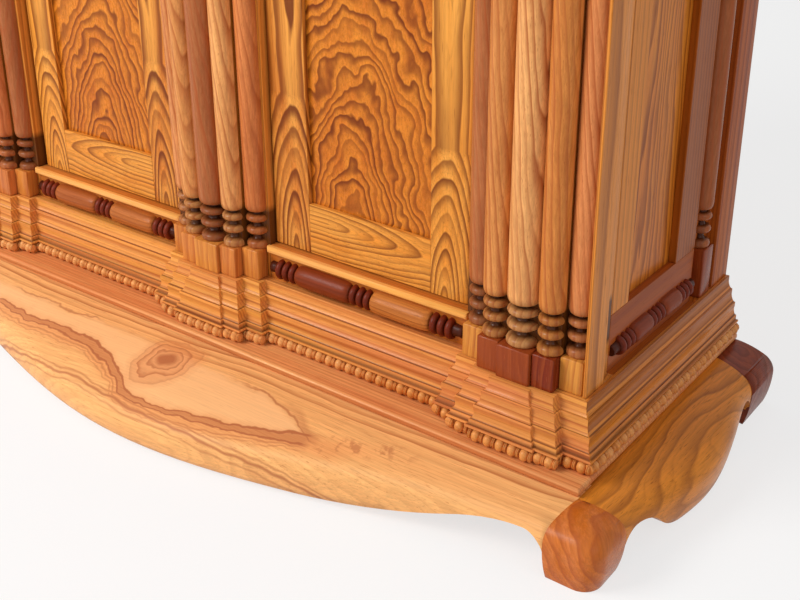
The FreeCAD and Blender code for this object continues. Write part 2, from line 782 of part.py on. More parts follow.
def make_posts():
    """Three front posts, and rear posts with a niche for the side column."""
    make_front_post("post_middle", FLOOR, False)
    mirror("post_left", make_front_post("post_right", d.column_pitch, True))
    rear = new_body("post_rear_right")
    front = d.front_plane + d.rear_post
    pad(rear, "XY", rectangle(inner_side, d.half_width, front, d.back_plane), board_top, cornice_top)
    niche = rectangle(niche_face, d.half_width + MARGIN, front - MARGIN, d.front_plane + d.rear_strip)
    pocket(rear, "XY", niche, moulding_top, cornice_foot)
    keep("post_rear_right", rear)
    mirror("post_rear_left", rear)


def make_bay_rails():
    """A rail under and over each door, with a socket for the door's pivot."""
    socket = d.pivot_radius + d.pivot_play
    outline = rectangle(bay_left, bay_right, d.front_plane, rail_back)
    lower = new_body("rail_lower_right")
    pad(lower, "XY", outline, board_top, d.ledge_height)
    bore(lower, pivot_x, pivot_y, d.ledge_height - d.pivot_socket, d.ledge_height + MARGIN, socket)
    keep("rail_lower_right", lower)
    mirror("rail_lower_left", lower)
    upper = new_body("rail_upper")
    pad(upper, "XY", outline, ledge_top, cornice_top)
    bore(upper, pivot_x, pivot_y, ledge_top - MARGIN, ledge_top + d.pivot_socket, socket)
    group("rails_upper", [upper, reflect(upper)])


def make_ledges():
    """A ledge under each door, with a rounded nose in front of the lower rail."""
    nose = d.front_plane - d.ledge_out
    outline = rectangle(bay_left - d.ledge_over, bay_right + d.ledge_over, nose, d.front_plane)
    body = new_body("ledge")
    strip = pad(body, "XY", outline, d.ledge_height - d.ledge_thick, d.ledge_height)
    front = nose.amount
    ease_edges("Fillet", body, strip, lambda b: b.YMax < front + 1, d.ledge_round)
    group("ledges", [body, reflect(body)])


def bobbin(radius, start, way):
    """Stations of a turned bobbin: a thick foot ring and two thin discs between deep waists."""
    return [(share * radius, start + way * d.bobbin_high * rise) for share, rise in BOBBIN_MARKS]


def shaft_end(radius, start, way):
    """Stations of a shaft's rounded end, beside its bobbin."""
    return [(share * radius, start + way * d.bobbin_high * rise) for share, rise in SHAFT_MARKS]


def column_stations(radius, foot, head):
    """Stations of a column: a shaft with rounded ends between two bobbins."""
    lower = bobbin(radius, foot, 1) + shaft_end(radius, foot, 1)
    upper = bobbin(radius, head, -1) + shaft_end(radius, head, -1)
    return lower + upper[::-1]


def split_column(label, plane, radius, foot, head):
    """Half of a turned column, on the origin's upright axis."""
    body = new_body(label)
    outline = [(FLOOR, foot)] + column_stations(radius, foot, head) + [(FLOOR, head)]
    turn(body, plane, outline, "V_Axis", angle=180, backwards=True)
    return body


def make_pedestal(label, width, depth):
    """A block with bevelled upper edges, standing on the origin against the wall behind it."""
    body = new_body(label)
    block = pad(body, "XY", rectangle(-width / 2, width / 2, -depth, FLOOR), FLOOR, d.pedestal_high)
    top = d.pedestal_high.amount
    ease_edges("Chamfer", body, block, lambda b: b.ZMin > top - 1 and b.YMin < -1, d.pedestal_bevel)
    return body


def make_columns():
    """Five split columns on each front post, each on a pedestal and under a capital block."""
    small = split_column("small_column", "XZ", d.small_radius, column_foot, column_head)
    large = split_column("large_column", "XZ", d.large_radius, column_foot, column_head)
    outer_block = make_pedestal("outer_pedestal", d.small_pitch, d.reach_outer)
    inner_block = make_pedestal("inner_pedestal", d.small_pitch, d.reach_inner - d.step_face)
    middle_block = make_pedestal("middle_pedestal", 2 * step_edges[2], d.reach_middle - d.step_face)
    spots = (
        (small, outer_block, -outer_column, d.front_plane),
        (small, inner_block, -d.large_pitch, raised_face),
        (large, middle_block, FLOOR, raised_face),
        (small, inner_block, d.large_pitch, raised_face),
        (small, outer_block, outer_column, d.front_plane),
    )
    capitals = {block: reflect(block, (0, 0, 1)) for block in (outer_block, inner_block, middle_block)}
    members = {"columns_small": [], "columns_large": [], "pedestals": [], "capitals": []}
    for place in (-1, 0, 1):
        for shaft, block, offset, wall in spots:
            x = place * d.column_pitch + offset
            members["columns_small" if shaft is small else "columns_large"].append(copy(shaft, x, wall))
            members["pedestals"].append(copy(block, x, wall, moulding_top))
            members["capitals"].append(copy(capitals[block], x, wall, cornice_foot))
    for label, items in members.items():
        group(label, items)


def make_side_columns():
    """A split column in the niche of each rear post, between tall blocks."""
    low = moulding_top + d.side_pedestal
    high = cornice_foot - d.side_pedestal
    right = split_column("side_column", "YZ", d.side_radius, low, high)
    left = reflect(right)
    group("columns_side", [copy(right, niche_face, niche_middle), copy(left, -niche_face, niche_middle)])
    block = new_body("side_block")
    half = d.small_pitch / 2
    pad(block, "XY", rectangle(FLOOR, d.rear_niche + 1, -half, half), FLOOR, d.side_pedestal)
    image = reflect(block)
    blocks = []
    for foot in (moulding_top, high):
        blocks += [copy(block, niche_face, niche_middle, foot), copy(image, -niche_face, niche_middle, foot)]
    group("pedestals_side", blocks)


def rings(radius, start):
    """Stations of rings in a row."""
    stations = []
    for number in range(RING_COUNT):
        foot = start + number * d.ring_pitch
        stations += [(share * radius, foot + place * d.ring_pitch) for share, place in RING_MARKS]
    return stations + [(RING_MARKS[0][0] * radius, start + RING_COUNT * d.ring_pitch)]


def barrel(radius, start, end):
    """Stations of a barrel with rounded ends."""
    return [(swell * radius, start + (end - start) * place) for swell, place in BARREL_MARKS]


def split_spindle(label, plane, radius, length):
    """Half of a turned spindle on the level axis: rings at the ends and the middle, and two barrels."""
    half = length / 2
    group_long = RING_COUNT * d.ring_pitch
    left = -half + d.spindle_neck
    right = half - d.spindle_neck - group_long
    middle = -group_long / 2
    stations = [(TIP_SHARE * radius, -half)]
    stations += rings(radius, left) + barrel(radius, left + group_long, middle)
    stations += rings(radius, middle) + barrel(radius, middle + group_long, right)
    stations += rings(radius, right) + [(TIP_SHARE * radius, half)]
    outline = [(-half, FLOOR)] + [(along, across) for across, along in stations] + [(half, FLOOR)]
    body = new_body(label)
    turn(body, plane, outline, "H_Axis", angle=180)
    return body


def make_spindles():
    """Split spindles planted on the lower rails of the bays and the sides."""
    bay_long = bay_right - bay_left - 2 * d.spindle_margin
    front = split_spindle("spindle_front", "XZ", d.spindle_radius, bay_long)
    centre = (bay_left + bay_right) / 2
    level = d.ledge_height - d.spindle_drop
    group("spindles_front", [copy(front, side * centre, d.front_plane, level) for side in (-1, 1)])
    side_long = d.rear_post - d.post_depth - 2 * d.spindle_margin
    right = split_spindle("spindle_side", "YZ", d.side_spindle, side_long)
    left = reflect(right)
    middle = d.front_plane + (d.rear_post + d.post_depth) / 2
    level = d.ledge_height - d.side_spindle_drop
    group("spindles_side", [copy(right, side_face, middle, level), copy(left, -side_face, middle, level)])


def make_sides():
    """Frame and panel between the posts of each side."""
    rear = d.front_plane + d.rear_post
    panel_front = d.front_plane + d.side_front
    panel_back = d.front_plane + d.side_back
    low = d.ledge_height + d.side_ledge
    high = ledge_top - d.side_ledge
    groove_out = side_face - d.panel_thick
    groove_in = groove_out - d.panel_thick
    tongue = d.panel_tongue
    panel_outline = rectangle(panel_front - tongue, panel_back + tongue, low - tongue, high + tongue)

    lower = ("lower", board_top, low, board_top, moulding_top)
    upper = ("upper", high, cornice_top, cornice_foot, cornice_top)
    for label, foot, head, behind_foot, behind_head in (lower, upper):
        rail = new_body(f"side_rail_{label}")
        pad(rail, "YZ", rectangle(post_back, rear, foot, head), inner_side, side_face)
        pad(rail, "YZ", rectangle(post_back, rear, behind_foot, behind_head), side_face, d.half_width)
        pocket(rail, "YZ", panel_outline, groove_in, groove_out)
        group(f"side_rails_{label}", [rail, reflect(rail)])

    stiles = []
    for label, edge, face, way in (("front", post_back, panel_front, -1), ("rear", rear, panel_back, 1)):
        section = [
            (inner_side, edge),
            (side_face, edge),
            (side_face, face),
            (groove_out, face),
            (groove_out, face + way * tongue),
            (groove_in, face + way * tongue),
            (groove_in, face),
            (inner_side, face),
        ]
        stile = new_body(f"side_stile_{label}")
        pad(stile, "XY", section, low, high)
        stiles += [stile, reflect(stile)]
    group("side_stiles", stiles)

    panel = new_body("side_panel_right")
    pad(panel, "YZ", panel_outline, groove_in, groove_out)
    keep("side_panel_right", panel)
    mirror("side_panel_left", panel)


def make_inside():
    """Floor, partition and back."""
    back = d.back_plane - d.back_inset - d.panel_thick
    floor_top = d.ledge_height - d.floor_drop
    near = bay_left + d.stop_width
    far = bay_right - d.stop_width
    half_front = [
        (near, post_back),
        (near, rail_back),
        (far, rail_back),
        (far, post_back),
        (inner_side, post_back),
    ]
    behind = [(inner_side, back), (-inner_side, back)]
    outline = [(-x, y) for x, y in reversed(half_front)] + half_front + behind
    floor = new_body("floor_panel")
    pad(floor, "XY", outline, floor_top - d.floor_thick, floor_top)
    keep("floor_panel", floor)
    half = d.partition_thick / 2
    keep("partition", box("partition", (-half, half), (post_back, back), (floor_top, cornice_top)))
    depth = (back, back + d.panel_thick)
    keep("back_panel", box("back_panel", (-inner_side, inner_side), depth, (board_top, cornice_top)))


def make_door():
    """A door: stiles and rails round a grooved-in panel, a round hinge edge on two pivots, and a knob."""
    panel_left = door_left + d.stile_width
    panel_right = door_right - d.stile_width
    panel_foot = door_foot + d.rail_width
    panel_head = door_head - d.rail_width
    groove_front = door_face + d.panel_inset
    groove_back = groove_front + d.panel_thick
    tongue = d.panel_tongue

    def grooved(inner, way):
        return [
            (inner, door_face),
            (inner, groove_front),
            (inner - way * tongue, groove_front),
            (inner - way * tongue, groove_back),
            (inner, groove_back),
            (inner, door_back),
        ]

    lock = new_body("door_right_stile_lock")
    square_edge = [(door_left, door_back), (door_left, door_face)]
    pad(lock, "XY", grooved(panel_left, 1) + square_edge, door_foot, door_head)
    hinge = new_body("door_right_stile_hinge")
    half = d.door_thick / 2
    round_edge = [(pivot_x, door_back, half), (door_right, pivot_y, half), (pivot_x, door_face)]
    pad(hinge, "XY", grooved(panel_right, -1) + round_edge, door_foot, door_head)
    bore(hinge, pivot_x, pivot_y, door_foot - MARGIN, door_foot + d.pivot_tail, d.pivot_radius)
    bore(hinge, pivot_x, pivot_y, door_head - d.pivot_tail, door_head + MARGIN, d.pivot_radius)
    pieces = [keep("door_right_stile_lock", lock), keep("door_right_stile_hinge", hinge)]

    rails = (("bottom", door_foot, panel_foot, 1), ("top", door_head, panel_head, -1))
    for label, outer, inner, way in rails:
        rail = new_body(f"door_right_rail_{label}")
        section = [(y, z) for z, y in grooved(inner, way)] + [(door_back, outer), (door_face, outer)]
        pad(rail, "YZ", section, panel_left, panel_right)
        low, high = (outer, inner - tongue) if way > 0 else (inner + tongue, outer)
        tenons = rectangle(panel_left - tongue, panel_right + tongue, low, high)
        pad(rail, "XZ", tenons, groove_front, groove_back)
        pieces.append(keep(f"door_right_rail_{label}", rail))

    panel = new_body("door_right_panel")
    outline = rectangle(panel_left - tongue, panel_right + tongue, panel_foot - tongue, panel_head + tongue)
    pad(panel, "XZ", outline, groove_front, groove_back)
    pieces.append(keep("door_right_panel", panel))

    knob = new_body("knob_turning")
    stations = ((0.85, 0), (0.85, 2), (0.4, 5), (0.36, 10), (0.8, 14), (1, 18), (0.8, 22), (0.3, 24))
    scale = d.knob_long / 24
    outline = [(FLOOR, FLOOR)] + [(share * d.knob_radius, -scale * y) for share, y in stations]
    turn(knob, "XY", outline + [(FLOOR, -d.knob_long)], "V_Axis")
    middle = (door_foot + door_head) / 2
    pieces.append(group("knob_right", [copy(knob, door_left + d.stile_width / 2, door_face, middle)]))

    pivot = new_body("pivot_pin")
    collar = d.door_gap - d.collar_gap
    stations = [
        (FLOOR, -d.door_gap - d.pivot_long),
        (d.pivot_radius, -d.door_gap - d.pivot_long),
        (d.pivot_radius, -collar),
        (d.collar_radius, -collar),
        (d.collar_radius, FLOOR),
        (d.pivot_radius, FLOOR),
        (d.pivot_radius, d.pivot_tail),
        (FLOOR, d.pivot_tail),
    ]
    turn(pivot, "XZ", stations, "V_Axis")
    upper = reflect(pivot, (0, 0, 1))
    pins = [copy(pivot, pivot_x, pivot_y, door_foot), copy(upper, pivot_x, pivot_y, door_head)]
    pieces.append(group("pivots_right", pins))
    for piece in pieces:
        mirror(piece.Label.replace("right", "left"), piece)


def make_top():
    """The top board, with rounds over and under its front and side edges."""
    body = new_body("top_board")
    edge_x = d.half_width + d.top_side
    outline = rectangle(-edge_x, edge_x, d.front_plane - d.top_front, d.back_plane)
    board = pad(body, "XY", outline, cornice_top, d.total_height)
    back = d.back_plane.amount
    low = cornice_top.amount
    high = d.total_height.amount
    ovolo = ease_edges("Fillet", body, board, lambda b: b.ZMax < low + 1 and b.YMin < back - 1, d.top_ovolo)
    ease_edges("Fillet", body, ovolo, lambda b: b.ZMin > high - 1 and b.YMin < back - 1, d.top_ovolo / 2)
    keep("top_board", body)


make_feet()
make_front_apron()
make_side_aprons()
make_base_board()
make_moulding("base_moulding", moulding_profile, board_top, moulding_top)
make_bead_strips()
make_posts()
make_bay_rails()
make_ledges()
make_columns()
make_side_columns()
make_spindles()
make_sides()
make_inside()
make_door()
make_moulding("cornice", cornice_profile, cornice_foot, cornice_top)
make_top()
doc.recompute()

for item in doc.Objects:
    if "Invalid" in item.State or "Error" in item.State:
        raise RuntimeError(f"{item.Label} could not be made")
for label, item in nodes.items():
    if item.Shape.isNull() or not item.Shape.isValid():
        raise RuntimeError(f"{label} has no valid shape")

os.makedirs("parts", exist_ok=True)
for label, item in nodes.items():
    item.Shape.exportStep(f"parts/{label}.step")
print(len(nodes), "pieces")
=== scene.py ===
"""Figured woods, turnings, bead rows and stage of an altar cabinet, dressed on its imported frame."""

import json
import math

import bmesh
import bpy
from mathutils import Matrix, Vector


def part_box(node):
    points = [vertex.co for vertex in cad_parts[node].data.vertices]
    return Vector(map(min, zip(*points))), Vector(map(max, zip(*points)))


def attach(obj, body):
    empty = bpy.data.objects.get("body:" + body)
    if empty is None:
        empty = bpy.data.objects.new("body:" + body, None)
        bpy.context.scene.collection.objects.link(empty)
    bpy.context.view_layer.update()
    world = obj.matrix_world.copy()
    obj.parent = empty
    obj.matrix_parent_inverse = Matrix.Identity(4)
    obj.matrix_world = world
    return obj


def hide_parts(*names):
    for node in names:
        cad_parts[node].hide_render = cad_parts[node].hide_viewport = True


bl_info = {
    "name": "Altar cabinet",
    "version": (1, 0, 0),
    "blender": (4, 5, 0),
    "location": "3D View > Sidebar > Cabinet",
    "description": "Dresses the packed altar cabinet with figured wood, turned columns and bead rows",
    "category": "Object",
}

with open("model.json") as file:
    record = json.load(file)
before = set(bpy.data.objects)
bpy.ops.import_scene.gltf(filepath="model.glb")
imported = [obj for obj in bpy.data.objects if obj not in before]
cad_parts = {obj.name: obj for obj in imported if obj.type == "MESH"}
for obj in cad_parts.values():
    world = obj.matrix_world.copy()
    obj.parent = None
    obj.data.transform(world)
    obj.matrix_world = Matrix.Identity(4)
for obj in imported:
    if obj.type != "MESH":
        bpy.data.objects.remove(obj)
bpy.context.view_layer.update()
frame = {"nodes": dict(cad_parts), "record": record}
BODY_OF = {node: body for body, members in frame["record"]["behaviour"]["bodies"].items() for node in members}
SIDES = ("left", "right")
QUARTER = math.pi / 2

# Heights and planes, in metres, read off the frame
MOULDING_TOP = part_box("base_moulding_front")[1].z
CORNICE_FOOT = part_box("cornice_front")[0].z
COLUMN_FOOT, COLUMN_HEAD = (corner.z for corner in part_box("columns_small"))
SIDE_COLUMN_FOOT, SIDE_COLUMN_HEAD = (corner.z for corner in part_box("columns_side"))
STRIP_LOW, STRIP_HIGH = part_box("bead_strip_front")
FRONT_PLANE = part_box("rail_lower_right")[0].y
BACK_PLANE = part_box("post_rear_right")[1].y
HALF_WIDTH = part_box("post_rear_right")[1].x
RAISED_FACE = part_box("post_middle")[0].y
SIDE_PEDESTAL_OUT = 0.015
NICHE_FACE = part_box("pedestals_side")[1].x - SIDE_PEDESTAL_OUT
EDGE_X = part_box("base_board")[1].x
EDGE_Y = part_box("base_board")[0].y

# Plan of a column cluster, from its middle
CLUSTERS = (-0.473, 0.0, 0.473)
SMALL_PITCH = 0.0282
LARGE_PITCH = 0.0353
OUTER_COLUMN = SMALL_PITCH + LARGE_PITCH
STEP_EDGES = (OUTER_COLUMN + SMALL_PITCH / 2, LARGE_PITCH + SMALL_PITCH / 2, LARGE_PITCH - SMALL_PITCH / 2)
STEP_REACHES = (0.0195, 0.0325, 0.037)
BAY_REACH = 0.007
BAND_OUT = 0.0205


class WoodColours(bpy.types.PropertyGroup):
    gold: bpy.props.FloatVectorProperty(
        name="Gold", description="Light ground of the door frames",
        subtype="COLOR", default=(0.88, 0.40, 0.075),
    )
    honey: bpy.props.FloatVectorProperty(
        name="Honey", description="Light ground of the door panels",
        subtype="COLOR", default=(0.76, 0.255, 0.025),
    )
    amber: bpy.props.FloatVectorProperty(
        name="Amber", description="Ground of the posts, rails and beads",
        subtype="COLOR", default=(0.74, 0.27, 0.055),
    )
    orange: bpy.props.FloatVectorProperty(
        name="Orange", description="Deep ground of the panels",
        subtype="COLOR", default=(0.58, 0.145, 0.012),
    )
    peach: bpy.props.FloatVectorProperty(
        name="Peach", description="Pale sapwood of the front apron",
        subtype="COLOR", default=(0.95, 0.49, 0.18),
    )
    cream: bpy.props.FloatVectorProperty(
        name="Cream", description="Palest sapwood of the front apron",
        subtype="COLOR", default=(0.97, 0.56, 0.27),
    )
    brick: bpy.props.FloatVectorProperty(
        name="Brick", description="Heartwood streak of the front apron",
        subtype="COLOR", default=(0.46, 0.145, 0.055),
    )
    rose: bpy.props.FloatVectorProperty(
        name="Rose", description="Pinkish columns and streaks",
        subtype="COLOR", default=(0.72, 0.235, 0.075),
    )
    ash: bpy.props.FloatVectorProperty(
        name="Ash", description="Greyish columns",
        subtype="COLOR", default=(0.52, 0.19, 0.065),
    )
    russet: bpy.props.FloatVectorProperty(
        name="Russet", description="Heartwood",
        subtype="COLOR", default=(0.37, 0.075, 0.015),
    )
    maroon: bpy.props.FloatVectorProperty(
        name="Maroon", description="Dark turnings and pedestals",
        subtype="COLOR", default=(0.185, 0.020, 0.006),
    )
    umber: bpy.props.FloatVectorProperty(
        name="Umber", description="Dark lines of the grain",
        subtype="COLOR", default=(0.135, 0.018, 0.001),
    )
    # Painted shade: the dark brown painted into the grooves and between the corner strips, where shade falls
    painted_shade: bpy.props.FloatVectorProperty(
        name="Painted Shade", description="Old polish in the grooves",
        subtype="COLOR", default=(0.045, 0.008, 0.002),
    )
    brass: bpy.props.FloatVectorProperty(
        name="Brass", description="Pivot pins",
        subtype="COLOR", default=(0.72, 0.50, 0.22),
    )


class TurningSizes(bpy.types.PropertyGroup):
    small_radius: bpy.props.FloatProperty(
        name="Small Column", description="Radius of a small column's shaft",
        default=0.0158, subtype="DISTANCE",
    )
    large_radius: bpy.props.FloatProperty(
        name="Large Column", description="Radius of a large column's shaft",
        default=0.0194, subtype="DISTANCE",
    )
    side_radius: bpy.props.FloatProperty(
        name="Side Column", description="Radius of a side column's shaft",
        default=0.014, subtype="DISTANCE",
    )
    bobbin: bpy.props.FloatProperty(
        name="Bobbin", description="Height of the turned bobbin at a column's end",
        default=0.054, subtype="DISTANCE",
    )
    spindle_radius: bpy.props.FloatProperty(
        name="Bay Spindle", description="Radius of a bay's split spindle",
        default=0.015, subtype="DISTANCE",
    )
    side_spindle: bpy.props.FloatProperty(
        name="Side Spindle", description="Radius of a side's split spindle",
        default=0.013, subtype="DISTANCE",
    )
    ring_pitch: bpy.props.FloatProperty(
        name="Ring Pitch", description="One ring of a spindle to the next",
        default=0.011, subtype="DISTANCE",
    )
    pedestal_bevel: bpy.props.FloatProperty(
        name="Pedestal Bevel", description="Eased edges of the pedestals",
        default=0.0022, subtype="DISTANCE",
    )
    knee_round: bpy.props.FloatProperty(
        name="Knee", description="Round corner of a front foot",
        default=0.024, subtype="DISTANCE",
    )
    edge_ease: bpy.props.FloatProperty(
        name="Eased Edge", description="Rounding of the boards' edges",
        default=0.0009, subtype="DISTANCE",
    )


class BeadSizes(bpy.types.PropertyGroup):
    pitch: bpy.props.FloatProperty(
        name="Pitch", description="One bead to the next",
        default=0.0165, subtype="DISTANCE",
    )
    bead_length: bpy.props.FloatProperty(
        name="Bead Length", description="Bead along the moulding",
        default=0.0120, subtype="DISTANCE",
    )
    bead_radius: bpy.props.FloatProperty(
        name="Bead Radius", description="Bead across the moulding",
        default=0.0078, subtype="DISTANCE",
    )
    reel_width: bpy.props.FloatProperty(
        name="Reel Width", description="One thin disc of a reel",
        default=0.0017, subtype="DISTANCE",
    )
    reel_radius: bpy.props.FloatProperty(
        name="Reel Radius", description="Reel across the moulding",
        default=0.0066, subtype="DISTANCE",
    )


class StageSettings(bpy.types.PropertyGroup):
    lens: bpy.props.FloatProperty(
        name="Lens", description="Focal length",
        default=53.2, unit="CAMERA",
    )
    eye: bpy.props.FloatVectorProperty(
        name="Eye", description="Place of the camera",
        default=(1.0528, -1.0762, 0.8507), subtype="TRANSLATION",
    )
    pitch: bpy.props.FloatProperty(
        name="Pitch", description="Camera's tilt from straight down",
        default=math.radians(66.02), subtype="ANGLE",
    )
    yaw: bpy.props.FloatProperty(
        name="Yaw", description="Camera's turn to the left",
        default=math.radians(36.51), subtype="ANGLE",
    )
    backdrop: bpy.props.FloatVectorProperty(
        name="Backdrop", description="Pale floor",
        subtype="COLOR", default=(0.93, 0.93, 0.93),
    )
    key_power: bpy.props.FloatProperty(
        name="Key Lamp", description="Large soft lamp at the front left",
        default=126.0, unit="POWER",
    )
    fill_power: bpy.props.FloatProperty(
        name="Fill Lamp", description="Soft lamp at the right",
        default=11.0, unit="POWER",
    )
    ambient: bpy.props.FloatProperty(
        name="Ambient", description="Even light from all round",
        default=0.42, subtype="FACTOR",
    )


class Wire:
    """An output of a node. Arithmetic with it adds nodes to the same tree."""

    def __init__(self, socket):
        self.socket = socket
        self.tree = socket.id_data

    def math(self, operation, other=0.0):
        return wire(self.tree, "ShaderNodeMath", {0: self, 1: other}, operation=operation)

    def __add__(self, other):
        return self.math("ADD", other)

    def __sub__(self, other):
        return self.math("SUBTRACT", other)

    def __mul__(self, other):
        return self.math("MULTIPLY", other)

    def __truediv__(self, other):
        return self.math("DIVIDE", other)

    def __abs__(self):
        return self.math("ABSOLUTE")

    def between(self, low, high, to_low=0.0, to_high=1.0):
        """The value's place from low to high, carried over to another range."""
        inputs = {"Value": self, "From Min": low, "From Max": high, "To Min": to_low, "To Max": to_high}
        return wire(self.tree, "ShaderNodeMapRange", inputs)

    def ramp(self, stops):
        """A ramp of grey levels or colours at the given places."""
        item = add_node(self.tree, "ShaderNodeValToRGB", {"Fac": self})
        marks = item.color_ramp.elements
        while len(marks) < len(stops):
            marks.new(0.5)
        for mark, (place, value) in zip(marks, stops):
            mark.position = place
            mark.color = (*value, 1.0) if isinstance(value, tuple) else (value, value, value, 1.0)
        return Wire(item.outputs["Color"])

    def mixed(self, share, other, blend="MIX"):
        """This colour blended with another one by a share."""
        if isinstance(other, tuple):
            other = (*other, 1.0)
        inputs = {0: share, 6: self, 7: other}
        return wire(self.tree, "ShaderNodeMix", inputs, 2, data_type="RGBA", blend_type=blend)


def add_node(tree, kind, inputs=None, **settings):
    """A node with its settings, and its inputs wired or set by name or number."""
    item = tree.nodes.new(kind)
    for key, value in settings.items():
        setattr(item, key, value)
    for key, value in (inputs or {}).items():
        if isinstance(value, Wire):
            tree.links.new(value.socket, item.inputs[key])
        else:
            item.inputs[key].default_value = value
    return item


def wire(tree, kind, inputs=None, output=0, **settings):
    """One output of a new node."""
    return Wire(add_node(tree, kind, inputs, **settings).outputs[output])


def new_tree(name, kind, inputs, outputs):
    """A node group with named inputs and outputs, and the wires from its inputs."""
    tree = bpy.data.node_groups.new(name, kind)
    for way, sockets in (("INPUT", inputs), ("OUTPUT", outputs)):
        for label, socket in sockets.items():
            tree.interface.new_socket(name=label, in_out=way, socket_type=f"NodeSocket{socket}")
    given = add_node(tree, "NodeGroupInput").outputs
    return tree, {socket.name: Wire(socket) for socket in given if socket.name}


def object_place(tree):
    return wire(tree, "ShaderNodeTexCoord", output="Object")


def axes(place):
    """The x, y and z of a place."""
    return [Wire(part) for part in add_node(place.tree, "ShaderNodeSeparateXYZ", {0: place}).outputs]


def joined(tree, x, y, z):
    return wire(tree, "ShaderNodeCombineXYZ", {0: x, 1: y, 2: z})


def vector_math(operation, first, second):
    return wire(first.tree, "ShaderNodeVectorMath", {0: first, 1: second}, operation=operation)


def stretched(place, along):
    """Coordinates drawn out along the grain."""
    return vector_math("MULTIPLY", place, (1, 1, along))


def distance(place):
    return wire(place.tree, "ShaderNodeVectorMath", {0: place}, "Value", operation="LENGTH")


def noise(place, scale, detail, rough=0.5):
    inputs = {"Vector": place, "Scale": scale, "Detail": detail, "Roughness": rough}
    return wire(place.tree, "ShaderNodeTexNoise", inputs, "Fac")


def stripe(value, centre, half, soft):
    """One where the value lies within half of the centre, down to nothing over the soft edge."""
    return abs(value - centre).between(half + soft, half)


def stripes(value, table):
    """Stripes (centre, half, soft edge, weight) with their weights."""
    return [(stripe(value, centre, half, soft), weight) for centre, half, soft, weight in table]


def strongest(*weighted):
    """The strongest of several masks after each is scaled by its weight."""
    best = 0.0
    for mask, weight in weighted:
        best = (mask * weight).math("MAXIMUM", best)
    return best


# Numbers of a wood's figure, and the darkness of its rings from one to the next
FIGURE = ("Spacing", "Flame", "Flame Scale", "Stretch", "Lines", "Bold", "Gloss")
THIN_RING = ((0.0, 0.0), (0.42, 0.10), (0.74, 0.62), (0.88, 1.0), (1.0, 0.0))
BOLD_RING = ((0.0, 0.0), (0.30, 0.16), (0.58, 0.80), (0.74, 1.0), (0.90, 0.92), (1.0, 0.0))
FINE_RING = ((0.0, 0.0), (0.55, 0.15), (0.85, 1.0), (1.0, 0.0))
KNOT_RING = ((0.0, 0.0), (0.5, 0.25), (0.85, 1.0), (1.0, 0.0))


def figure_group():
    """Node group of a figured board with its grain along Z: growth rings, fibres and pores."""
    existing = bpy.data.node_groups.get("wood_figure")
    if existing:
        return existing
    inputs = {"Place": "Vector", "Light": "Color", "Middle": "Color", "Dark": "Color"}
    inputs.update(dict.fromkeys(FIGURE, "Float"))
    outputs = {"Colour": "Color", "Roughness": "Float", "Height": "Float"}
    tree, given = new_tree("wood_figure", "ShaderNodeTree", inputs, outputs)
    place = given["Place"]

    drawn = vector_math("MULTIPLY", place, joined(tree, 1.0, 1.0, given["Stretch"]))
    swing = (noise(drawn, given["Flame Scale"], 2.0, 0.45) - 0.5) * given["Flame"]
    waver = (noise(drawn, given["Flame Scale"] * 3.3, 2.0) - 0.5) * given["Flame"]
    rings = distance(stretched(place, 0.0)) / given["Spacing"]
    level = rings + swing + waver * 0.32
    share = level.math("FRACT")
    number = level.math("FLOOR")
    strength = wire(tree, "ShaderNodeTexWhiteNoise", {"W": number}, "Value", noise_dimensions="1D")
    strength = strength.between(0.0, 1.0, 0.5, 1.0)
    line = share.ramp(THIN_RING).mixed(given["Bold"], share.ramp(BOLD_RING))
    finer = (level * 3.0).math("FRACT").ramp(FINE_RING)
    line = (line * strength * given["Lines"]).math("MAXIMUM", finer * 0.20)

    fibre = noise(stretched(place, 0.025), 330.0, 4.0, 0.62)
    pore = noise(stretched(place, 0.04), 1050.0, 1.0).between(0.62, 0.74)
    patch = noise(stretched(place, 0.35), 7.0, 2.0).between(0.32, 0.68)
    streak = noise(stretched(place, 0.03), 60.0, 3.0, 0.55).between(0.3, 0.7, -0.1, 0.55)
    ground = given["Light"].mixed(patch * 0.55 + streak, given["Middle"])
    ground = ground.mixed(1.0, fibre.between(0.25, 0.75, 0.80, 1.14), "MULTIPLY")
    figured = ground.mixed(line, given["Dark"])
    pored = figured.mixed(pore * 0.45, given["Dark"])

    rough = given["Gloss"] + line * 0.10 + fibre.between(0.3, 0.7, -0.04, 0.06) + pore * 0.15
    height = fibre * 0.5 - (pore * 0.8 + line * 0.25)
    add_node(tree, "NodeGroupOutput", {"Colour": pored, "Roughness": rough, "Height": height})
    return tree


GRAIN_TURN = {"X": (0.0, -QUARTER, 0.0), "Y": (QUARTER, 0.0, 0.0), "Z": (0.0, 0.0, 0.0)}


def colour(name):
    return tuple(getattr(bpy.context.scene.cabinet_colours, name))


def wood_place(tree, grain, traits):
    """Object coordinates turned so that the grain runs along Z, with the pith moved off the board.

    A bow (low, high, slope) leads the grain away from the pith between two heights, which arches its lines.
    """
    place = object_place(tree)
    if "mirrored" in traits:
        x, y, z = axes(place)
        place = joined(tree, abs(x), y, z)
    if "tones" in traits:
        shift = wire(tree, "ShaderNodeAttribute", output="Vector", attribute_name="grain")
        place = vector_math("ADD", place, shift)
    place = wire(tree, "ShaderNodeMapping", {"Vector": place, "Rotation": GRAIN_TURN[grain]})
    if "bow" in traits:
        low, high, slope = traits["bow"]
        x, y, z = axes(place)
        place = joined(tree, x, y + z.between(low, high, 0.0, (high - low) * slope), z)
    turn = (*traits.get("tilt", (0.0, 0.0)), 0.0)
    return wire(tree, "ShaderNodeMapping", {"Vector": place, "Location": traits["pith"], "Rotation": turn})


# Inner edge of the corner strips, and where their shade ends
STRIP_EDGE = 0.5520
STRIP_SOFT = 0.5530
SHADE_SOFT = 0.004
SHADE_PAST = 0.006


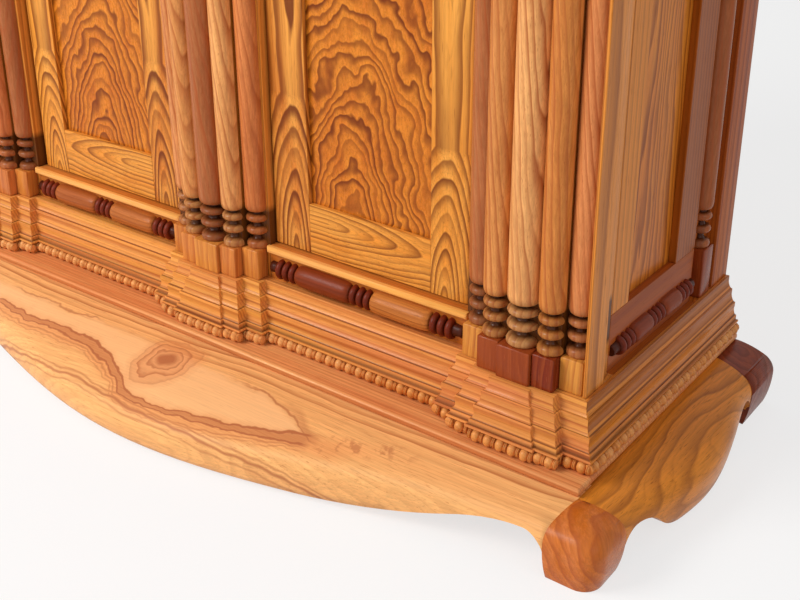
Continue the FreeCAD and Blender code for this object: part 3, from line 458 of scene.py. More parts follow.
def recess_shade(tree):
    """From 0 to 1, where shade is painted between the corner strips: at the heights of the bobbins."""
    x, _, z = axes(object_place(tree))
    bobbin = bpy.context.scene.cabinet_turnings.bobbin
    foot, head = (
        z.between(low - SHADE_SOFT, low + SHADE_SOFT) * z.between(high + SHADE_PAST, high - SHADE_SOFT)
        for low, high in ((COLUMN_FOOT, COLUMN_FOOT + bobbin), (COLUMN_HEAD - bobbin, COLUMN_HEAD))
    )
    return (foot + head) * abs(x).between(STRIP_SOFT, STRIP_EDGE)


# Each wood: the way of its grain, its light, middle and dark colours, its figure's numbers and its traits.
# Pith is where the rings have their middle, tilt the grain's lean and bow its arch. A mirrored wood is the
# same on both sides. Tones colour each piece by its own tone. Other traits give the strength of the shade
# painted into the grooves and of the shade painted between the corner strips at the heights of the bobbins,
# the depth over which the wood turns darker towards the back, and the bump of its relief.
WOODS = {
    "door_panel_left_figure": (
        "Z", ("honey", "orange", "umber"), (0.0092, 7.5, 9.0, 0.6, 1.0, 0.6, 0.26),
        {"pith": (0.246, 0.0535, 0.0), "bow": (0.24, 0.95, 0.42)},
    ),
    "door_panel_right_figure": (
        "Z", ("honey", "orange", "umber"), (0.0092, 9.5, 10.0, 0.6, 1.0, 0.6, 0.26),
        {"pith": (-0.205, 0.0535, 0.0), "bow": (0.24, 0.95, 0.42)},
    ),
    "door_stile_figure": (
        "Z", ("gold", "orange", "umber"), (0.0062, 3.6, 11.0, 0.22, 1.0, 0.8, 0.27),
        {"pith": (-0.120, 0.0605, 0.0), "bow": (0.205, 0.42, 0.21), "mirrored": True},
    ),
    "hinge_stile_figure": (
        "Z", ("gold", "honey", "umber"), (0.0056, 3.2, 11.0, 0.2, 0.95, 0.5, 0.27),
        {"pith": (-0.350, 0.0605, 0.0), "bow": (0.205, 0.40, 0.24), "mirrored": True},
    ),
    "door_rail_figure": (
        "X", ("gold", "honey", "umber"), (0.0062, 3.0, 11.0, 0.22, 0.85, 0.3, 0.27),
        {"pith": (0.262, 0.0605, 0.0), "bow": (0.170, 0.32, 0.17), "mirrored": True},
    ),
    "ledge_figure": (
        "X", ("peach", "gold", "orange"), (0.006, 1.4, 7.0, 0.1, 0.35, 0.0, 0.26),
        {"pith": (0.2, 0.3, 0.0)},
    ),
    # The posts have shade painted between the corner strips, behind the bobbins
    "post_figure": (
        "Z", ("honey", "amber", "umber"), (0.0048, 2.2, 8.0, 0.08, 0.85, 0.3, 0.28),
        {"pith": (0.9, 0.25, 0.0), "painted_recess": 0.85},
    ),
    "rear_post_figure": (
        "Z", ("orange", "russet", "umber"), (0.0048, 2.2, 8.0, 0.08, 0.85, 0.3, 0.28),
        {"pith": (0.9, 0.25, 0.0)},
    ),
    "rail_figure": (
        "X", ("amber", "orange", "umber"), (0.007, 1.6, 7.0, 0.1, 0.5, 0.3, 0.28),
        {"pith": (0.2, 0.3, 0.0)},
    ),
    # The mouldings have shade painted into their hollows
    "front_moulding_figure": (
        "X", ("gold", "rose", "russet"), (0.0045, 2.4, 8.0, 0.07, 0.85, 0.2, 0.27),
        {"pith": (0.05, 0.35, 0.0), "painted_groove_shade": 0.6},
    ),
    "side_moulding_figure": (
        "Y", ("rose", "honey", "umber"), (0.0045, 2.4, 8.0, 0.07, 0.75, 0.2, 0.27),
        {"pith": (0.35, 0.05, 0.0), "painted_groove_shade": 0.6},
    ),
    "board_figure": (
        "X", ("peach", "rose", "russet"), (0.006, 2.2, 6.0, 0.07, 0.6, 0.3, 0.27),
        {"pith": (0.04, 0.4, 0.0)},
    ),
    "bead_figure": (
        "X", ("peach", "amber", "russet"), (0.006, 2.0, 8.0, 0.2, 0.45, 0.3, 0.26),
        {"pith": (0.05, 0.35, 0.0)},
    ),
    # The columns have shade painted into their necks and, at the bobbins, between the corner strips
    "column_figure": (
        "Z", ("amber", "orange", "russet"), (0.0072, 4.6, 11.0, 0.16, 0.85, 0.2, 0.25),
        {
            "pith": (0.02, 0.06, 0.0), "tilt": (0.14, 0.09), "painted_groove_shade": 0.9, "painted_recess": 0.36,
            "tones": ("maroon", "ash", "amber", "peach", "rose", "gold"),
        },
    ),
    # The spindles have shade painted into their necks
    "spindle_figure_x": (
        "X", ("rose", "russet", "umber"), (0.006, 3.0, 14.0, 0.2, 0.6, 0.3, 0.36),
        {"pith": (0.02, 0.06, 0.0), "painted_groove_shade": 0.9, "tones": ("maroon", "russet", "amber", "gold")},
    ),
    "spindle_figure_y": (
        "Y", ("rose", "russet", "umber"), (0.006, 3.0, 14.0, 0.2, 0.6, 0.3, 0.36),
        {"pith": (0.02, 0.06, 0.0), "painted_groove_shade": 0.9, "tones": ("maroon", "russet", "amber", "gold")},
    ),
    "pedestal_figure": (
        "Z", ("amber", "russet", "russet"), (0.009, 4.0, 14.0, 0.2, 0.7, 0.3, 0.2),
        {
            "pith": (0.03, 0.08, 0.0), "tilt": (0.05, 0.0),
            "tones": ("maroon", "russet", "rose", "amber", "gold"),
        },
    ),
    "side_panel_figure": (
        "Z", ("honey", "orange", "umber"), (0.011, 8.0, 12.0, 0.14, 0.8, 0.5, 0.3),
        {"pith": (-0.60, 0.02, 0.0), "tilt": (0.0, 0.04), "mirrored": True},
    ),
    # The side frames turn darker towards the back
    "side_frame_figure": (
        "Z", ("honey", "honey", "umber"), (0.006, 2.4, 8.0, 0.08, 0.6, 0.3, 0.3),
        {"pith": (-0.3, 0.2, 0.0), "mirrored": True, "darker_back": (0.06, 0.10)},
    ),
    "side_rail_figure": (
        "Y", ("orange", "russet", "umber"), (0.007, 2.0, 8.0, 0.1, 0.5, 0.3, 0.3),
        {"pith": (-0.3, 0.2, 0.0)},
    ),
    "side_apron_figure": (
        "Y", ("honey", "honey", "umber"), (0.017, 9.0, 7.0, 0.25, 0.6, 0.1, 0.3),
        {"pith": (-0.50, 0.06, 0.0), "tilt": (0.05, 0.0), "mirrored": True},
    ),
    "foot_figure": (
        "Z", ("rose", "orange", "russet"), (0.0150, 3.6, 11.0, 0.7, 0.8, 0.3, 0.24),
        {"pith": (-0.615, 0.185, -0.02), "tilt": (0.5, 0.5), "mirrored": True},
    ),
    # The rear feet are painted darker than the front feet, as shade
    "rear_foot_figure": (
        "Z", ("russet", "maroon", "umber"), (0.0105, 3.6, 15.0, 0.7, 0.85, 0.7, 0.3),
        {"pith": (-0.615, -0.22, 0.0), "tilt": (0.4, 0.4), "mirrored": True},
    ),
    "inner_figure": (
        "Z", ("gold", "amber", "russet"), (0.012, 3.0, 6.0, 0.15, 0.5, 0.3, 0.42),
        {"pith": (0.1, 0.3, 0.0), "tilt": (0.03, 0.0), "bump": 0.2},
    ),
    "level_inner_figure": (
        "X", ("gold", "amber", "russet"), (0.012, 3.0, 6.0, 0.15, 0.5, 0.3, 0.42),
        {"pith": (0.3, 0.1, 0.0), "tilt": (0.03, 0.0), "bump": 0.2},
    ),
    "top_figure": (
        "X", ("gold", "honey", "russet"), (0.014, 6.0, 5.0, 0.18, 0.75, 0.4, 0.24),
        {"pith": (-0.98, -0.10, 0.0), "tilt": (0.02, 0.04)},
    ),
    "knob_figure": (
        "Y", ("maroon", "umber", "umber"), (0.004, 1.5, 30.0, 0.4, 0.6, 0.3, 0.18),
        {"pith": (0.004, 0.006, 0.0)},
    ),
}
BUMP = 0.10
RELIEF = 0.0006
SHEEN = 0.12
COAT = 0.05
COAT_ROUGHNESS = 0.14
DEEPER = (0.72, 0.62, 0.55)
# Darkening of the side frames towards the back
BACK_DARKENING = (0.50, 0.36, 0.28)


def blank_material(name):
    """A material with an empty node tree."""
    made = bpy.data.materials.new(name)
    made.use_nodes = True
    made.node_tree.nodes.clear()
    return made


def figure_node(tree, grain, tints, numbers, traits):
    """The figure's node with its place, its numbers and its three colours."""
    inputs = {"Place": wood_place(tree, grain, traits), **dict(zip(FIGURE, numbers))}
    for key, tint in zip(("Light", "Middle", "Dark"), tints):
        inputs[key] = (*colour(tint), 1.0)
    if "tones" in traits:
        tone = wire(tree, "ShaderNodeAttribute", output="Fac", attribute_name="tone")
        last = len(traits["tones"]) - 1
        ground = tone.ramp([(step / last, colour(tint)) for step, tint in enumerate(traits["tones"])])
        inputs["Light"] = ground
        inputs["Middle"] = ground.mixed(1.0, DEEPER, "MULTIPLY")
    return add_node(tree, "ShaderNodeGroup", inputs, node_tree=figure_group())


def lacquer(tree, base, figure, bump, coat):
    """Lacquer over the figure."""
    height = Wire(figure.outputs["Height"])
    inputs = {
        "Base Color": base,
        "Roughness": Wire(figure.outputs["Roughness"]),
        "Normal": wire(tree, "ShaderNodeBump", {"Strength": bump, "Distance": RELIEF, "Height": height}),
        "Specular IOR Level": SHEEN,
        "Coat Weight": coat,
        "Coat Roughness": COAT_ROUGHNESS,
    }
    add_node(tree, "ShaderNodeOutputMaterial", {"Surface": wire(tree, "ShaderNodeBsdfPrincipled", inputs)})


def wood(name):
    """The polished wood of that name, made on its first use."""
    existing = bpy.data.materials.get(name)
    if existing:
        return existing
    made = blank_material(name)
    tree = made.node_tree
    traits = WOODS[name][-1]
    figure = figure_node(tree, *WOODS[name])
    base = Wire(figure.outputs["Colour"])
    # Shade painted into the grooves
    if "painted_groove_shade" in traits:
        groove = wire(tree, "ShaderNodeAttribute", output="Fac", attribute_name="groove")
        base = base.mixed(groove * traits["painted_groove_shade"], colour("painted_shade"))
    # Darker towards the back
    if "darker_back" in traits:
        depth = axes(object_place(tree))[1]
        base = base.mixed(depth.between(*traits["darker_back"]), BACK_DARKENING, "MULTIPLY")
    # Shade painted between the corner strips at the heights of the bobbins
    if "painted_recess" in traits:
        base = base.mixed(recess_shade(tree) * traits["painted_recess"], colour("painted_shade"))
    lacquer(tree, base, figure, traits.get("bump", BUMP), COAT)
    return made


# Along the front apron, by shares of its length: how far down the board its streak runs, how wide it is,
# and how far down the edge of the heartwood lies
STREAK_COURSE = (
    (0.0, 0.50), (0.11, 0.50), (0.18, 0.54), (0.24, 0.50), (0.34, 0.52), (0.39, 0.62), (0.43, 0.74),
    (0.464, 0.88), (0.50, 0.92), (0.53, 0.93), (0.57, 0.88), (0.67, 0.75), (0.71, 0.66), (0.776, 0.53),
    (0.84, 0.42), (0.91, 0.26), (0.96, 0.29), (1.0, 0.26),
)
STREAK_WIDTH = (
    (0.0, 0.35), (0.25, 0.55), (0.36, 0.80), (0.45, 0.60), (0.55, 0.42), (0.66, 0.50), (0.73, 0.80),
    (0.776, 1.0),
)
HEART_COURSE = (
    (0.0, 0.25), (0.29, 0.20), (0.45, 0.16), (0.60, 0.20), (0.668, 0.215), (0.71, 0.26), (0.742, 0.34),
    (0.785, 0.52), (1.0, 0.60),
)
# Dark lines of the streak and of the rim: centre, half width, soft edge and strength
STREAK_LINES = (
    (0.0, 0.0095, 0.0040, 0.50), (-0.0100, 0.0016, 0.0030, 0.95), (0.0095, 0.0022, 0.0030, 0.95),
)
STREAK_HAIRS = ((-0.0150, 0.0005, 0.0020, 0.50), (-0.0215, 0.0004, 0.0018, 0.40))
RIM_LINES = (
    (0.0, 0.0009, 0.0030, 0.80), (0.0085, 0.0004, 0.0026, 0.55), (-0.0120, 0.0004, 0.0026, 0.50),
)
APRON_TOP = 0.078
APRON_BUMP = 0.06
APRON_COAT = 0.0
APRON_ENDS = (-0.40, 0.45)
BOARD_WIDTH = 0.15
RIM_OFF = 0.302
KNOT_AT = (-0.002, 0.107, -0.0402)
KNOT_SCALE = (0.55, 0.55, 0.55)
KNOT_RING_PITCH = 0.0062


def apron_wood():
    """The front apron's board: pale sapwood with a wandering heartwood streak and a knot."""
    existing = bpy.data.materials.get("front_apron_figure")
    if existing:
        return existing
    made = blank_material("front_apron_figure")
    tree = made.node_tree
    at = object_place(tree)
    x, y, z = axes(at)
    slope = y + (z - APRON_TOP)
    share = x.between(*APRON_ENDS)
    wander = (noise(at, 24.0, 2.0) - 0.5) * 0.022 + (noise(at, 65.0, 2.0) - 0.5) * 0.009
    moved = slope + BOARD_WIDTH + wander
    off = moved + share.ramp(STREAK_COURSE) * BOARD_WIDTH
    above = moved + share.ramp(HEART_COURSE) * BOARD_WIDTH
    rim = slope + RIM_OFF + (noise(at, 8.0, 3.0, 0.55) - 0.5) * 0.045

    lines = strongest((slope.between(-0.195, -0.160), 0.75), (off.between(-0.006, -0.030), 0.22)) + 0.06
    numbers = (0.013, 3.6, 7.0, 0.30, lines, 0.2, 0.42)
    traits = {"pith": (0.10, -0.06, 0.0), "tilt": (0.03, 0.0)}
    figure = figure_node(tree, "X", ("peach", "peach", "russet"), numbers, traits)
    heart = off.between(0.002, 0.010) * above.between(0.004, -0.010)
    ground = Wire(figure.outputs["Colour"]).mixed(heart * 0.6, colour("cream"))

    reel = off / share.ramp(STREAK_WIDTH)
    flush = stripe(off, -0.006, 0.008, 0.018) * x.between(0.30, 0.36, 1.0, 0.3)
    blushed = ground.mixed(flush * 0.42, colour("rose"))
    body = strongest(*stripes(reel, STREAK_LINES), *stripes(off, STREAK_HAIRS))
    shut = x.between(0.10, 0.16) * x.between(0.285, 0.265)
    far = x.between(-0.34, -0.31) * x.between(-0.13, -0.16)
    tip = stripe(above, 0.006, 0.004, 0.010) * x.between(0.19, 0.25)
    bounds = stripe(above, 0.0, 0.0008, 0.0022) * strongest((shut, 0.75), (far, 0.6))
    specks = noise(at, 60.0, 3.0, 0.6).between(0.52, 0.62) * stripe(off, 0.0, 0.010, 0.012)
    marks = strongest(
        (body * x.between(0.262, 0.275, 1.0, 0.0), 1.0),
        (bounds, 1.0),
        (tip * shut, 0.5),
        (specks * stripe(x, 0.325, 0.035, 0.05), 0.6),
        *stripes(rim, RIM_LINES),
    )
    streaked = blushed.mixed(marks, colour("brick"))

    centred = wire(tree, "ShaderNodeMapping", {"Vector": at, "Location": KNOT_AT, "Scale": KNOT_SCALE})
    reach = distance(centred) + (noise(at, 22.0, 3.0) - 0.5) * 0.024
    loops = (reach / KNOT_RING_PITCH).math("FRACT").ramp(KNOT_RING)
    inside = reach.between(0.030, 0.018)
    knot = inside * strongest((loops, 0.85), (reach.between(0.010, 0.003), 1.0))
    tinted = streaked.mixed(inside * 0.45, colour("rose"))
    lacquer(tree, tinted.mixed(knot * 0.9, colour("brick")), figure, APRON_BUMP, APRON_COAT)
    return made


TARNISH = (0.42, 0.24, 0.09, 1.0)


def brass_finish():
    """Brushed brass of the pivot pins."""
    made = blank_material("brushed_brass")
    tree = made.node_tree
    at = object_place(tree)
    brushed = noise(stretched(at, 12.0), 900.0, 3.0, 0.6)
    worn = noise(at, 180.0, 3.0, 0.55).between(0.4, 0.75)
    tints = {0: worn, 6: (*colour("brass"), 1.0), 7: TARNISH}
    inputs = {
        "Base Color": wire(tree, "ShaderNodeMix", tints, 2, data_type="RGBA"),
        "Roughness": brushed.between(0.2, 0.8, 0.22, 0.42),
        "Normal": wire(tree, "ShaderNodeBump", {"Strength": 0.1, "Distance": 0.0002, "Height": brushed}),
        "Metallic": 1.0,
    }
    add_node(tree, "ShaderNodeOutputMaterial", {"Surface": wire(tree, "ShaderNodeBsdfPrincipled", inputs)})
    return made


# Angles, in degrees, from which an edge stays sharp
EASED_SHARP = 22
SWELL_SHARP = 32
BLOCK_SHARP = 20
TURNING_SHARP = 50


def skin(name, shape, sharp):
    """The shape's smooth mesh, with its edges kept sharp from that angle on."""
    mesh = bpy.data.meshes.new(name)
    shape.to_mesh(mesh)
    shape.free()
    mesh.shade_smooth()
    mesh.set_sharp_from_angle(angle=math.radians(sharp))
    return mesh


def settle(name, mesh, finish, node):
    """A finished piece at the origin, riding on its body in place of a CAD node."""
    piece = bpy.data.objects.new(name, mesh)
    bpy.context.scene.collection.objects.link(piece)
    mesh.materials.clear()
    mesh.materials.append(finish)
    mesh.polygons.foreach_set("material_index", [0] * len(mesh.polygons))
    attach(piece, BODY_OF[node])
    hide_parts(node)
    return piece


MERGE = 1e-6
FLAT_ANGLE = math.radians(0.6)
HOLLOW_ANGLE = math.radians(14)
SHARP_ANGLE = math.radians(40)
LEVEL_SLOPE = 0.05


def merged_copy(node, flat):
    """A CAD node's own shape as one joined surface."""
    shape = bmesh.new()
    shape.from_mesh(frame["nodes"][node].data)
    bmesh.ops.remove_doubles(shape, verts=shape.verts, dist=MERGE)
    if flat:
        bmesh.ops.dissolve_limit(shape, angle_limit=FLAT_ANGLE, verts=shape.verts, edges=shape.edges)
    return shape


def mark_hollows(shape):
    """A groove attribute on the vertices of the level inward edges: where shade is painted in the hollows."""
    groove = shape.verts.layers.float.new("groove")
    for edge in shape.edges:
        first, last = edge.verts
        level = abs(first.co.z - last.co.z) < LEVEL_SLOPE * edge.calc_length()
        if level and edge.is_manifold and edge.calc_face_angle_signed(0.0) < -HOLLOW_ANGLE:
            first[groove] = last[groove] = 1.0


def board(node, finish, flat=True, hollows=False):
    """A board of the frame with its sharp edges eased."""
    shape = merged_copy(node, flat)
    sharp = [edge for edge in shape.edges if edge.is_manifold and edge.calc_face_angle(0.0) > SHARP_ANGLE]
    bmesh.ops.bevel(
        shape, geom=sharp, offset=bpy.context.scene.cabinet_turnings.edge_ease, offset_type="OFFSET",
        segments=2, profile=0.5, affect="EDGES", clamp_overlap=True,
    )
    if hollows:
        mark_hollows(shape)
    name = f"{node}_eased"
    return settle(name, skin(name, shape, EASED_SHARP), finish, node)


def swell(node, finish):
    """A swelling piece of the frame with its curves shaded smooth."""
    name = f"{node}_smooth"
    return settle(name, skin(name, merged_copy(node, False), SWELL_SHARP), finish, node)


KNEE_CUTS = 19
KNEE_CUT_PITCH = 0.003
KNEE_SHARE = 0.5


def round_knee(node, finish):
    """A front foot with its outer corner rounded, less where the knee is slimmer."""
    round_off = bpy.context.scene.cabinet_turnings.knee_round
    shape = merged_copy(node, False)
    for step in range(1, KNEE_CUTS + 1):
        out = KNEE_CUT_PITCH * step
        right = (EDGE_X + out, 0, 0)
        left = (-EDGE_X - out, 0, 0)
        front = (0, EDGE_Y - out, 0)
        for edge, way in ((right, (1, 0, 0)), (left, (1, 0, 0)), (front, (0, 1, 0))):
            parts = shape.verts[:] + shape.edges[:] + shape.faces[:]
            bmesh.ops.bisect_plane(shape, geom=parts, dist=MERGE, plane_co=edge, plane_no=way)
    for vert in shape.verts:
        side = math.copysign(1.0, vert.co.x)
        beside = abs(vert.co.x) - EDGE_X
        before = EDGE_Y - vert.co.y
        reach = max(beside, before)
        radius = min(round_off, KNEE_SHARE * reach)
        across = beside - reach + radius
        along = before - reach + radius
        if across > 0 and along > 0:
            share = radius / math.hypot(across, along)
            vert.co.x = side * (EDGE_X + reach - radius + across * share)
            vert.co.y = EDGE_Y - (reach - radius + along * share)
    name = f"{node}_smooth"
    return settle(name, skin(name, shape, SWELL_SHARP), finish, node)


LENS_FULLNESS = 0.8
BOBBIN_UNITS = 54
GROOVE_SHARE = 0.84
GROOVE_SPAN = 0.34
SMALL_SEGMENTS = 22
LARGE_SEGMENTS = 28
SPINDLE_SEGMENTS = 16


def lens(foot, head, low, high, count=9):
    """Stations of a round disc between two waists."""
    marks = []
    for step in range(count):
        turn = math.pi * step / (count - 1)
        rise = (foot + head) / 2 - math.cos(turn) * (head - foot) / 2
        marks.append((low + (high - low) * math.sin(turn) ** LENS_FULLNESS, rise))
    return marks


def bobbin_marks():
    """Shares of the shaft's radius, and heights in millimetres over the pedestal."""
    ring = [(0.86, 0.0), (0.95, 1.0), (0.985, 3.0), (0.98, 5.6), (0.90, 8.2), (0.72, 10.0), (0.52, 11.0)]
    lower = lens(18.4, 29.4, 0.44, 0.97)
    upper = lens(35.4, 46.2, 0.42, 0.97)
    neck = [(0.42, 12.6), (0.39, 15.0), (0.41, 17.4)]
    waist = [(0.40, 30.6), (0.38, 32.4), (0.40, 34.4)]
    return ring + neck + lower + waist + upper + [(0.40, 47.4), (0.39, 49.0)]


def column_stations(radius, foot, head):
    """Radius and height of a column: a shaft with rounded ends between two bobbins."""
    scale = bpy.context.scene.cabinet_turnings.bobbin / BOBBIN_UNITS
    end = [(0.60, 49.8), (0.78, 50.5), (0.89, 51.9), (0.955, 54.2), (0.985, 57.0), (1.0, 61.0)]
    half = [(share * radius, rise * scale) for share, rise in bobbin_marks() + end]
    length = head - foot
    return [(r, foot + z) for r, z in half] + [(r, foot + length - z) for r, z in reversed(half)]


def groove_depths(stations, segments):
    """How far each vertex of a turning lies in a groove, from 0 to 1: where shade is painted in the necks."""
    full = max(radius for radius, _ in stations)
    depths = [min(max((GROOVE_SHARE - radius / full) / GROOVE_SPAN, 0.0), 1.0) for radius, _ in stations]
    return [depth for depth in depths for _ in range(segments + 1)]


def split_turning(name, stations, segments):
    """Half of a turning on the Z axis, facing -Y, closed at its flat back."""
    shape = bmesh.new()
    rows = []
    for radius, height in stations:
        row = []
        for step in range(segments + 1):
            angle = math.pi * (step / segments - 0.5)
            row.append(shape.verts.new((radius * math.sin(angle), -radius * math.cos(angle), height)))
        rows.append(row)
    for lower, upper in zip(rows, rows[1:]):
        for step in range(segments):
            shape.faces.new((lower[step], lower[step + 1], upper[step + 1], upper[step]))
        shape.faces.new((lower[-1], lower[0], upper[0], upper[-1]))
    shape.faces.new(rows[0][::-1])
    shape.faces.new(rows[-1])
    bmesh.ops.recalc_face_normals(shape, faces=shape.faces)
    mesh = skin(name, shape, TURNING_SHARP)
    groove = mesh.attributes.new("groove", "FLOAT", "POINT")
    groove.data.foreach_set("value", groove_depths(stations, segments))
    return mesh


def on_points(points, instance, rotation):
    """A copy of the instance at each point."""
    inputs = {"Points": points, "Instance": instance, "Rotation": rotation}
    return wire(points.tree, "GeometryNodeInstanceOnPoints", inputs)


def together(*parts):
    """Several geometries as one."""
    item = add_node(parts[0].tree, "GeometryNodeJoinGeometry")
    for part in parts:
        item.id_data.links.new(part.socket, item.inputs[0])
    return Wire(item.outputs[0])


def real_wood(copies, finish):
    """Copies made real, in their wood."""
    real = wire(copies.tree, "GeometryNodeRealizeInstances", {"Geometry": copies})
    return wire(copies.tree, "GeometryNodeSetMaterial", {"Geometry": real, "Material": finish})


def row_tree():
    """Geometry Nodes: one turning at each point, with the point's own tone and turn."""
    existing = bpy.data.node_groups.get("turning_row")
    if existing:
        return existing
    inputs = {"Geometry": "Geometry", "Turning": "Object", "Wood": "Material"}
    tree, given = new_tree("turning_row", "GeometryNodeTree", inputs, {"Geometry": "Geometry"})
    turning = {"Object": given["Turning"]}
    shape = wire(tree, "GeometryNodeObjectInfo", turning, "Geometry", transform_space="ORIGINAL")
    spin = wire(tree, "GeometryNodeInputNamedAttribute", {"Name": "turn"}, "Attribute", data_type="FLOAT")
    placed = on_points(given["Geometry"], shape, joined(tree, 0.0, 0.0, spin))
    add_node(tree, "NodeGroupOutput", {"Geometry": real_wood(placed, given["Wood"])})
    return tree


BEAD_SEGMENTS = 12
BEAD_RINGS = 7
REEL_RINGS = 5


def bead_tree():
    """Geometry Nodes: beads in the cells of each run of a path, and a double reel between them."""
    existing = bpy.data.node_groups.get("bead_row")
    if existing:
        return existing
    sizes = ("Pitch", "Bead Length", "Bead Radius", "Reel Width", "Reel Radius")
    inputs = {"Geometry": "Geometry", **dict.fromkeys(sizes, "Float"), "Wood": "Material"}
    tree, given = new_tree("bead_row", "GeometryNodeTree", inputs, {"Geometry": "Geometry"})

    curve = wire(tree, "GeometryNodeMeshToCurve", {0: given["Geometry"]})
    cells = (wire(tree, "GeometryNodeSplineLength", output="Length") / given["Pitch"]).math("ROUND")
    marks = cells.math("MAXIMUM", 1.0) + 1.0
    divided = wire(tree, "GeometryNodeResampleCurve", {"Curve": curve, "Count": marks}, mode="COUNT")
    tangent = wire(tree, "GeometryNodeInputTangent")
    note = {"Geometry": divided, "Name": "run", "Value": tangent}
    noted = wire(tree, "GeometryNodeStoreNamedAttribute", note, data_type="FLOAT_VECTOR", domain="POINT")
    chain = wire(tree, "GeometryNodeCurveToMesh", {"Curve": noted})
    run = wire(tree, "GeometryNodeInputNamedAttribute", {"Name": "run"}, data_type="FLOAT_VECTOR")
    facing = wire(tree, "FunctionNodeAlignRotationToVector", {"Vector": run}, axis="Z")

    ball = {"Segments": BEAD_SEGMENTS, "Rings": BEAD_RINGS, "Radius": 1.0}
    girth = given["Bead Radius"]
    oval = joined(tree, girth, girth, given["Bead Length"] * 0.5)
    rounded = {"Geometry": wire(tree, "GeometryNodeMeshUVSphere", ball), "Scale": oval}
    bead = wire(tree, "GeometryNodeTransform", rounded)
    middles = wire(tree, "GeometryNodeMeshToPoints", {"Mesh": chain}, mode="EDGES")

    ball["Rings"] = REEL_RINGS
    wafer = wire(tree, "GeometryNodeMeshUVSphere", ball)
    rim = given["Reel Radius"]
    flat = joined(tree, rim, rim, given["Reel Width"])
    discs = []
    for side in (-1.0, 1.0):
        apart = joined(tree, 0.0, 0.0, given["Reel Width"] * side)
        moved = {"Geometry": wafer, "Scale": flat, "Translation": apart}
        discs.append(wire(tree, "GeometryNodeTransform", moved))
    ends = wire(tree, "GeometryNodeMeshToPoints", {"Mesh": chain}, mode="VERTICES")

    row = together(on_points(middles, bead, facing), on_points(ends, together(*discs), facing))
    smooth = wire(tree, "GeometryNodeSetShadeSmooth", {"Geometry": real_wood(row, given["Wood"])})
    add_node(tree, "NodeGroupOutput", {"Geometry": smooth})
    return tree


def grown(name, base, tree, values):
    """The plain mesh that a tree makes from a base mesh, with the named inputs set."""
    carrier = bpy.data.objects.new(f"{name}_base", base)
    bpy.context.scene.collection.objects.link(carrier)
    modifier = carrier.modifiers.new("row", "NODES")
    modifier.node_group = tree
    for item in tree.interface.items_tree:
        if item.in_out == "INPUT" and item.name in values:
            modifier[item.identifier] = values[item.name]
    view = bpy.context.evaluated_depsgraph_get()
    evaluated = carrier.evaluated_get(view)
    mesh = bpy.data.meshes.new_from_object(evaluated, preserve_all_data_layers=True, depsgraph=view)
    mesh.name = name
    carrier.modifiers.clear()
    bpy.data.objects.remove(carrier)
    if not mesh.polygons:
        raise RuntimeError(f"{name} came out empty")
    return mesh


# Shift of the grain from one piece to the next, and where it starts again, along each axis
COLUMN_SHIFT = ((0.37, 0.9), (0.11, 0.23), (0.53, 1.7))
BLOCK_SHIFT = ((0.31, 0.8), (0.17, 0.5), (0.41, 1.3))
SPINDLE_SHIFT = ((0.07, 1.0), (0.03, 1.0), (0.21, 1.0))


def grain_shift(number, shifts):
    """Where the wood of the numbered piece is cut from, so that no two look the same."""
    return Vector([step * number % whole for step, whole in shifts])


def point_mesh(name, places):
    """Points with a tone, a grain shift and a turn about the upright."""
    mesh = bpy.data.meshes.new(name)
    mesh.from_pydata([place for place, *_ in places], [], [])
    for kind, attribute in (("FLOAT", "tone"), ("FLOAT", "turn"), ("FLOAT_VECTOR", "grain")):
        mesh.attributes.new(attribute, kind, "POINT")
    for number, (_, shade, spin) in enumerate(places):
        mesh.attributes["tone"].data[number].value = shade
        mesh.attributes["turn"].data[number].value = spin
        mesh.attributes["grain"].data[number].vector = grain_shift(number, COLUMN_SHIFT)
    return mesh


def turning_row(name, mesh, places, finish, node):
    """A row of like turnings, as one piece."""
    pattern = bpy.data.objects.new(f"{name}_pattern", mesh)
    bpy.context.scene.collection.objects.link(pattern)
    values = {"Turning": pattern, "Wood": finish}
    row = grown(name, point_mesh(f"{name}_points", places), row_tree(), values)
    bpy.data.objects.remove(pattern)
    return settle(name, row, finish, node)


# Tones of the columns and pedestals, cluster by cluster from the left
COLUMN_TONES = (
    (0.45, 0.62, 0.30, 0.80, 0.16),
    (0.70, 0.50, 0.17, 0.54, 0.82),
    (0.20, 0.47, 0.58, 0.90, 0.76),
)
SIDE_COLUMN_TONES = (0.12, 0.14)
PEDESTAL_TONES = (
    (0.50, 0.40, 0.75, 0.60, 0.80),
    (0.78, 0.72, 0.86, 0.70, 0.80),
    (0.92, 0.20, 0.14, 0.02, 0.98),
)
SIDE_PEDESTAL_TONES = (0.14, 0.16)


def column_places(large):
    """Places and tones of the large or the small columns, cluster by cluster."""
    spots = ((-OUTER_COLUMN, FRONT_PLANE), (-LARGE_PITCH, RAISED_FACE), (0.0, RAISED_FACE))
    spots += ((LARGE_PITCH, RAISED_FACE), (OUTER_COLUMN, FRONT_PLANE))
    places = []
    for middle, tones in zip(CLUSTERS, COLUMN_TONES):
        for (offset, wall), tone in zip(spots, tones):
            if (offset == 0.0) == large:
                places.append(((middle + offset, wall, 0.0), tone, 0.0))
    return places


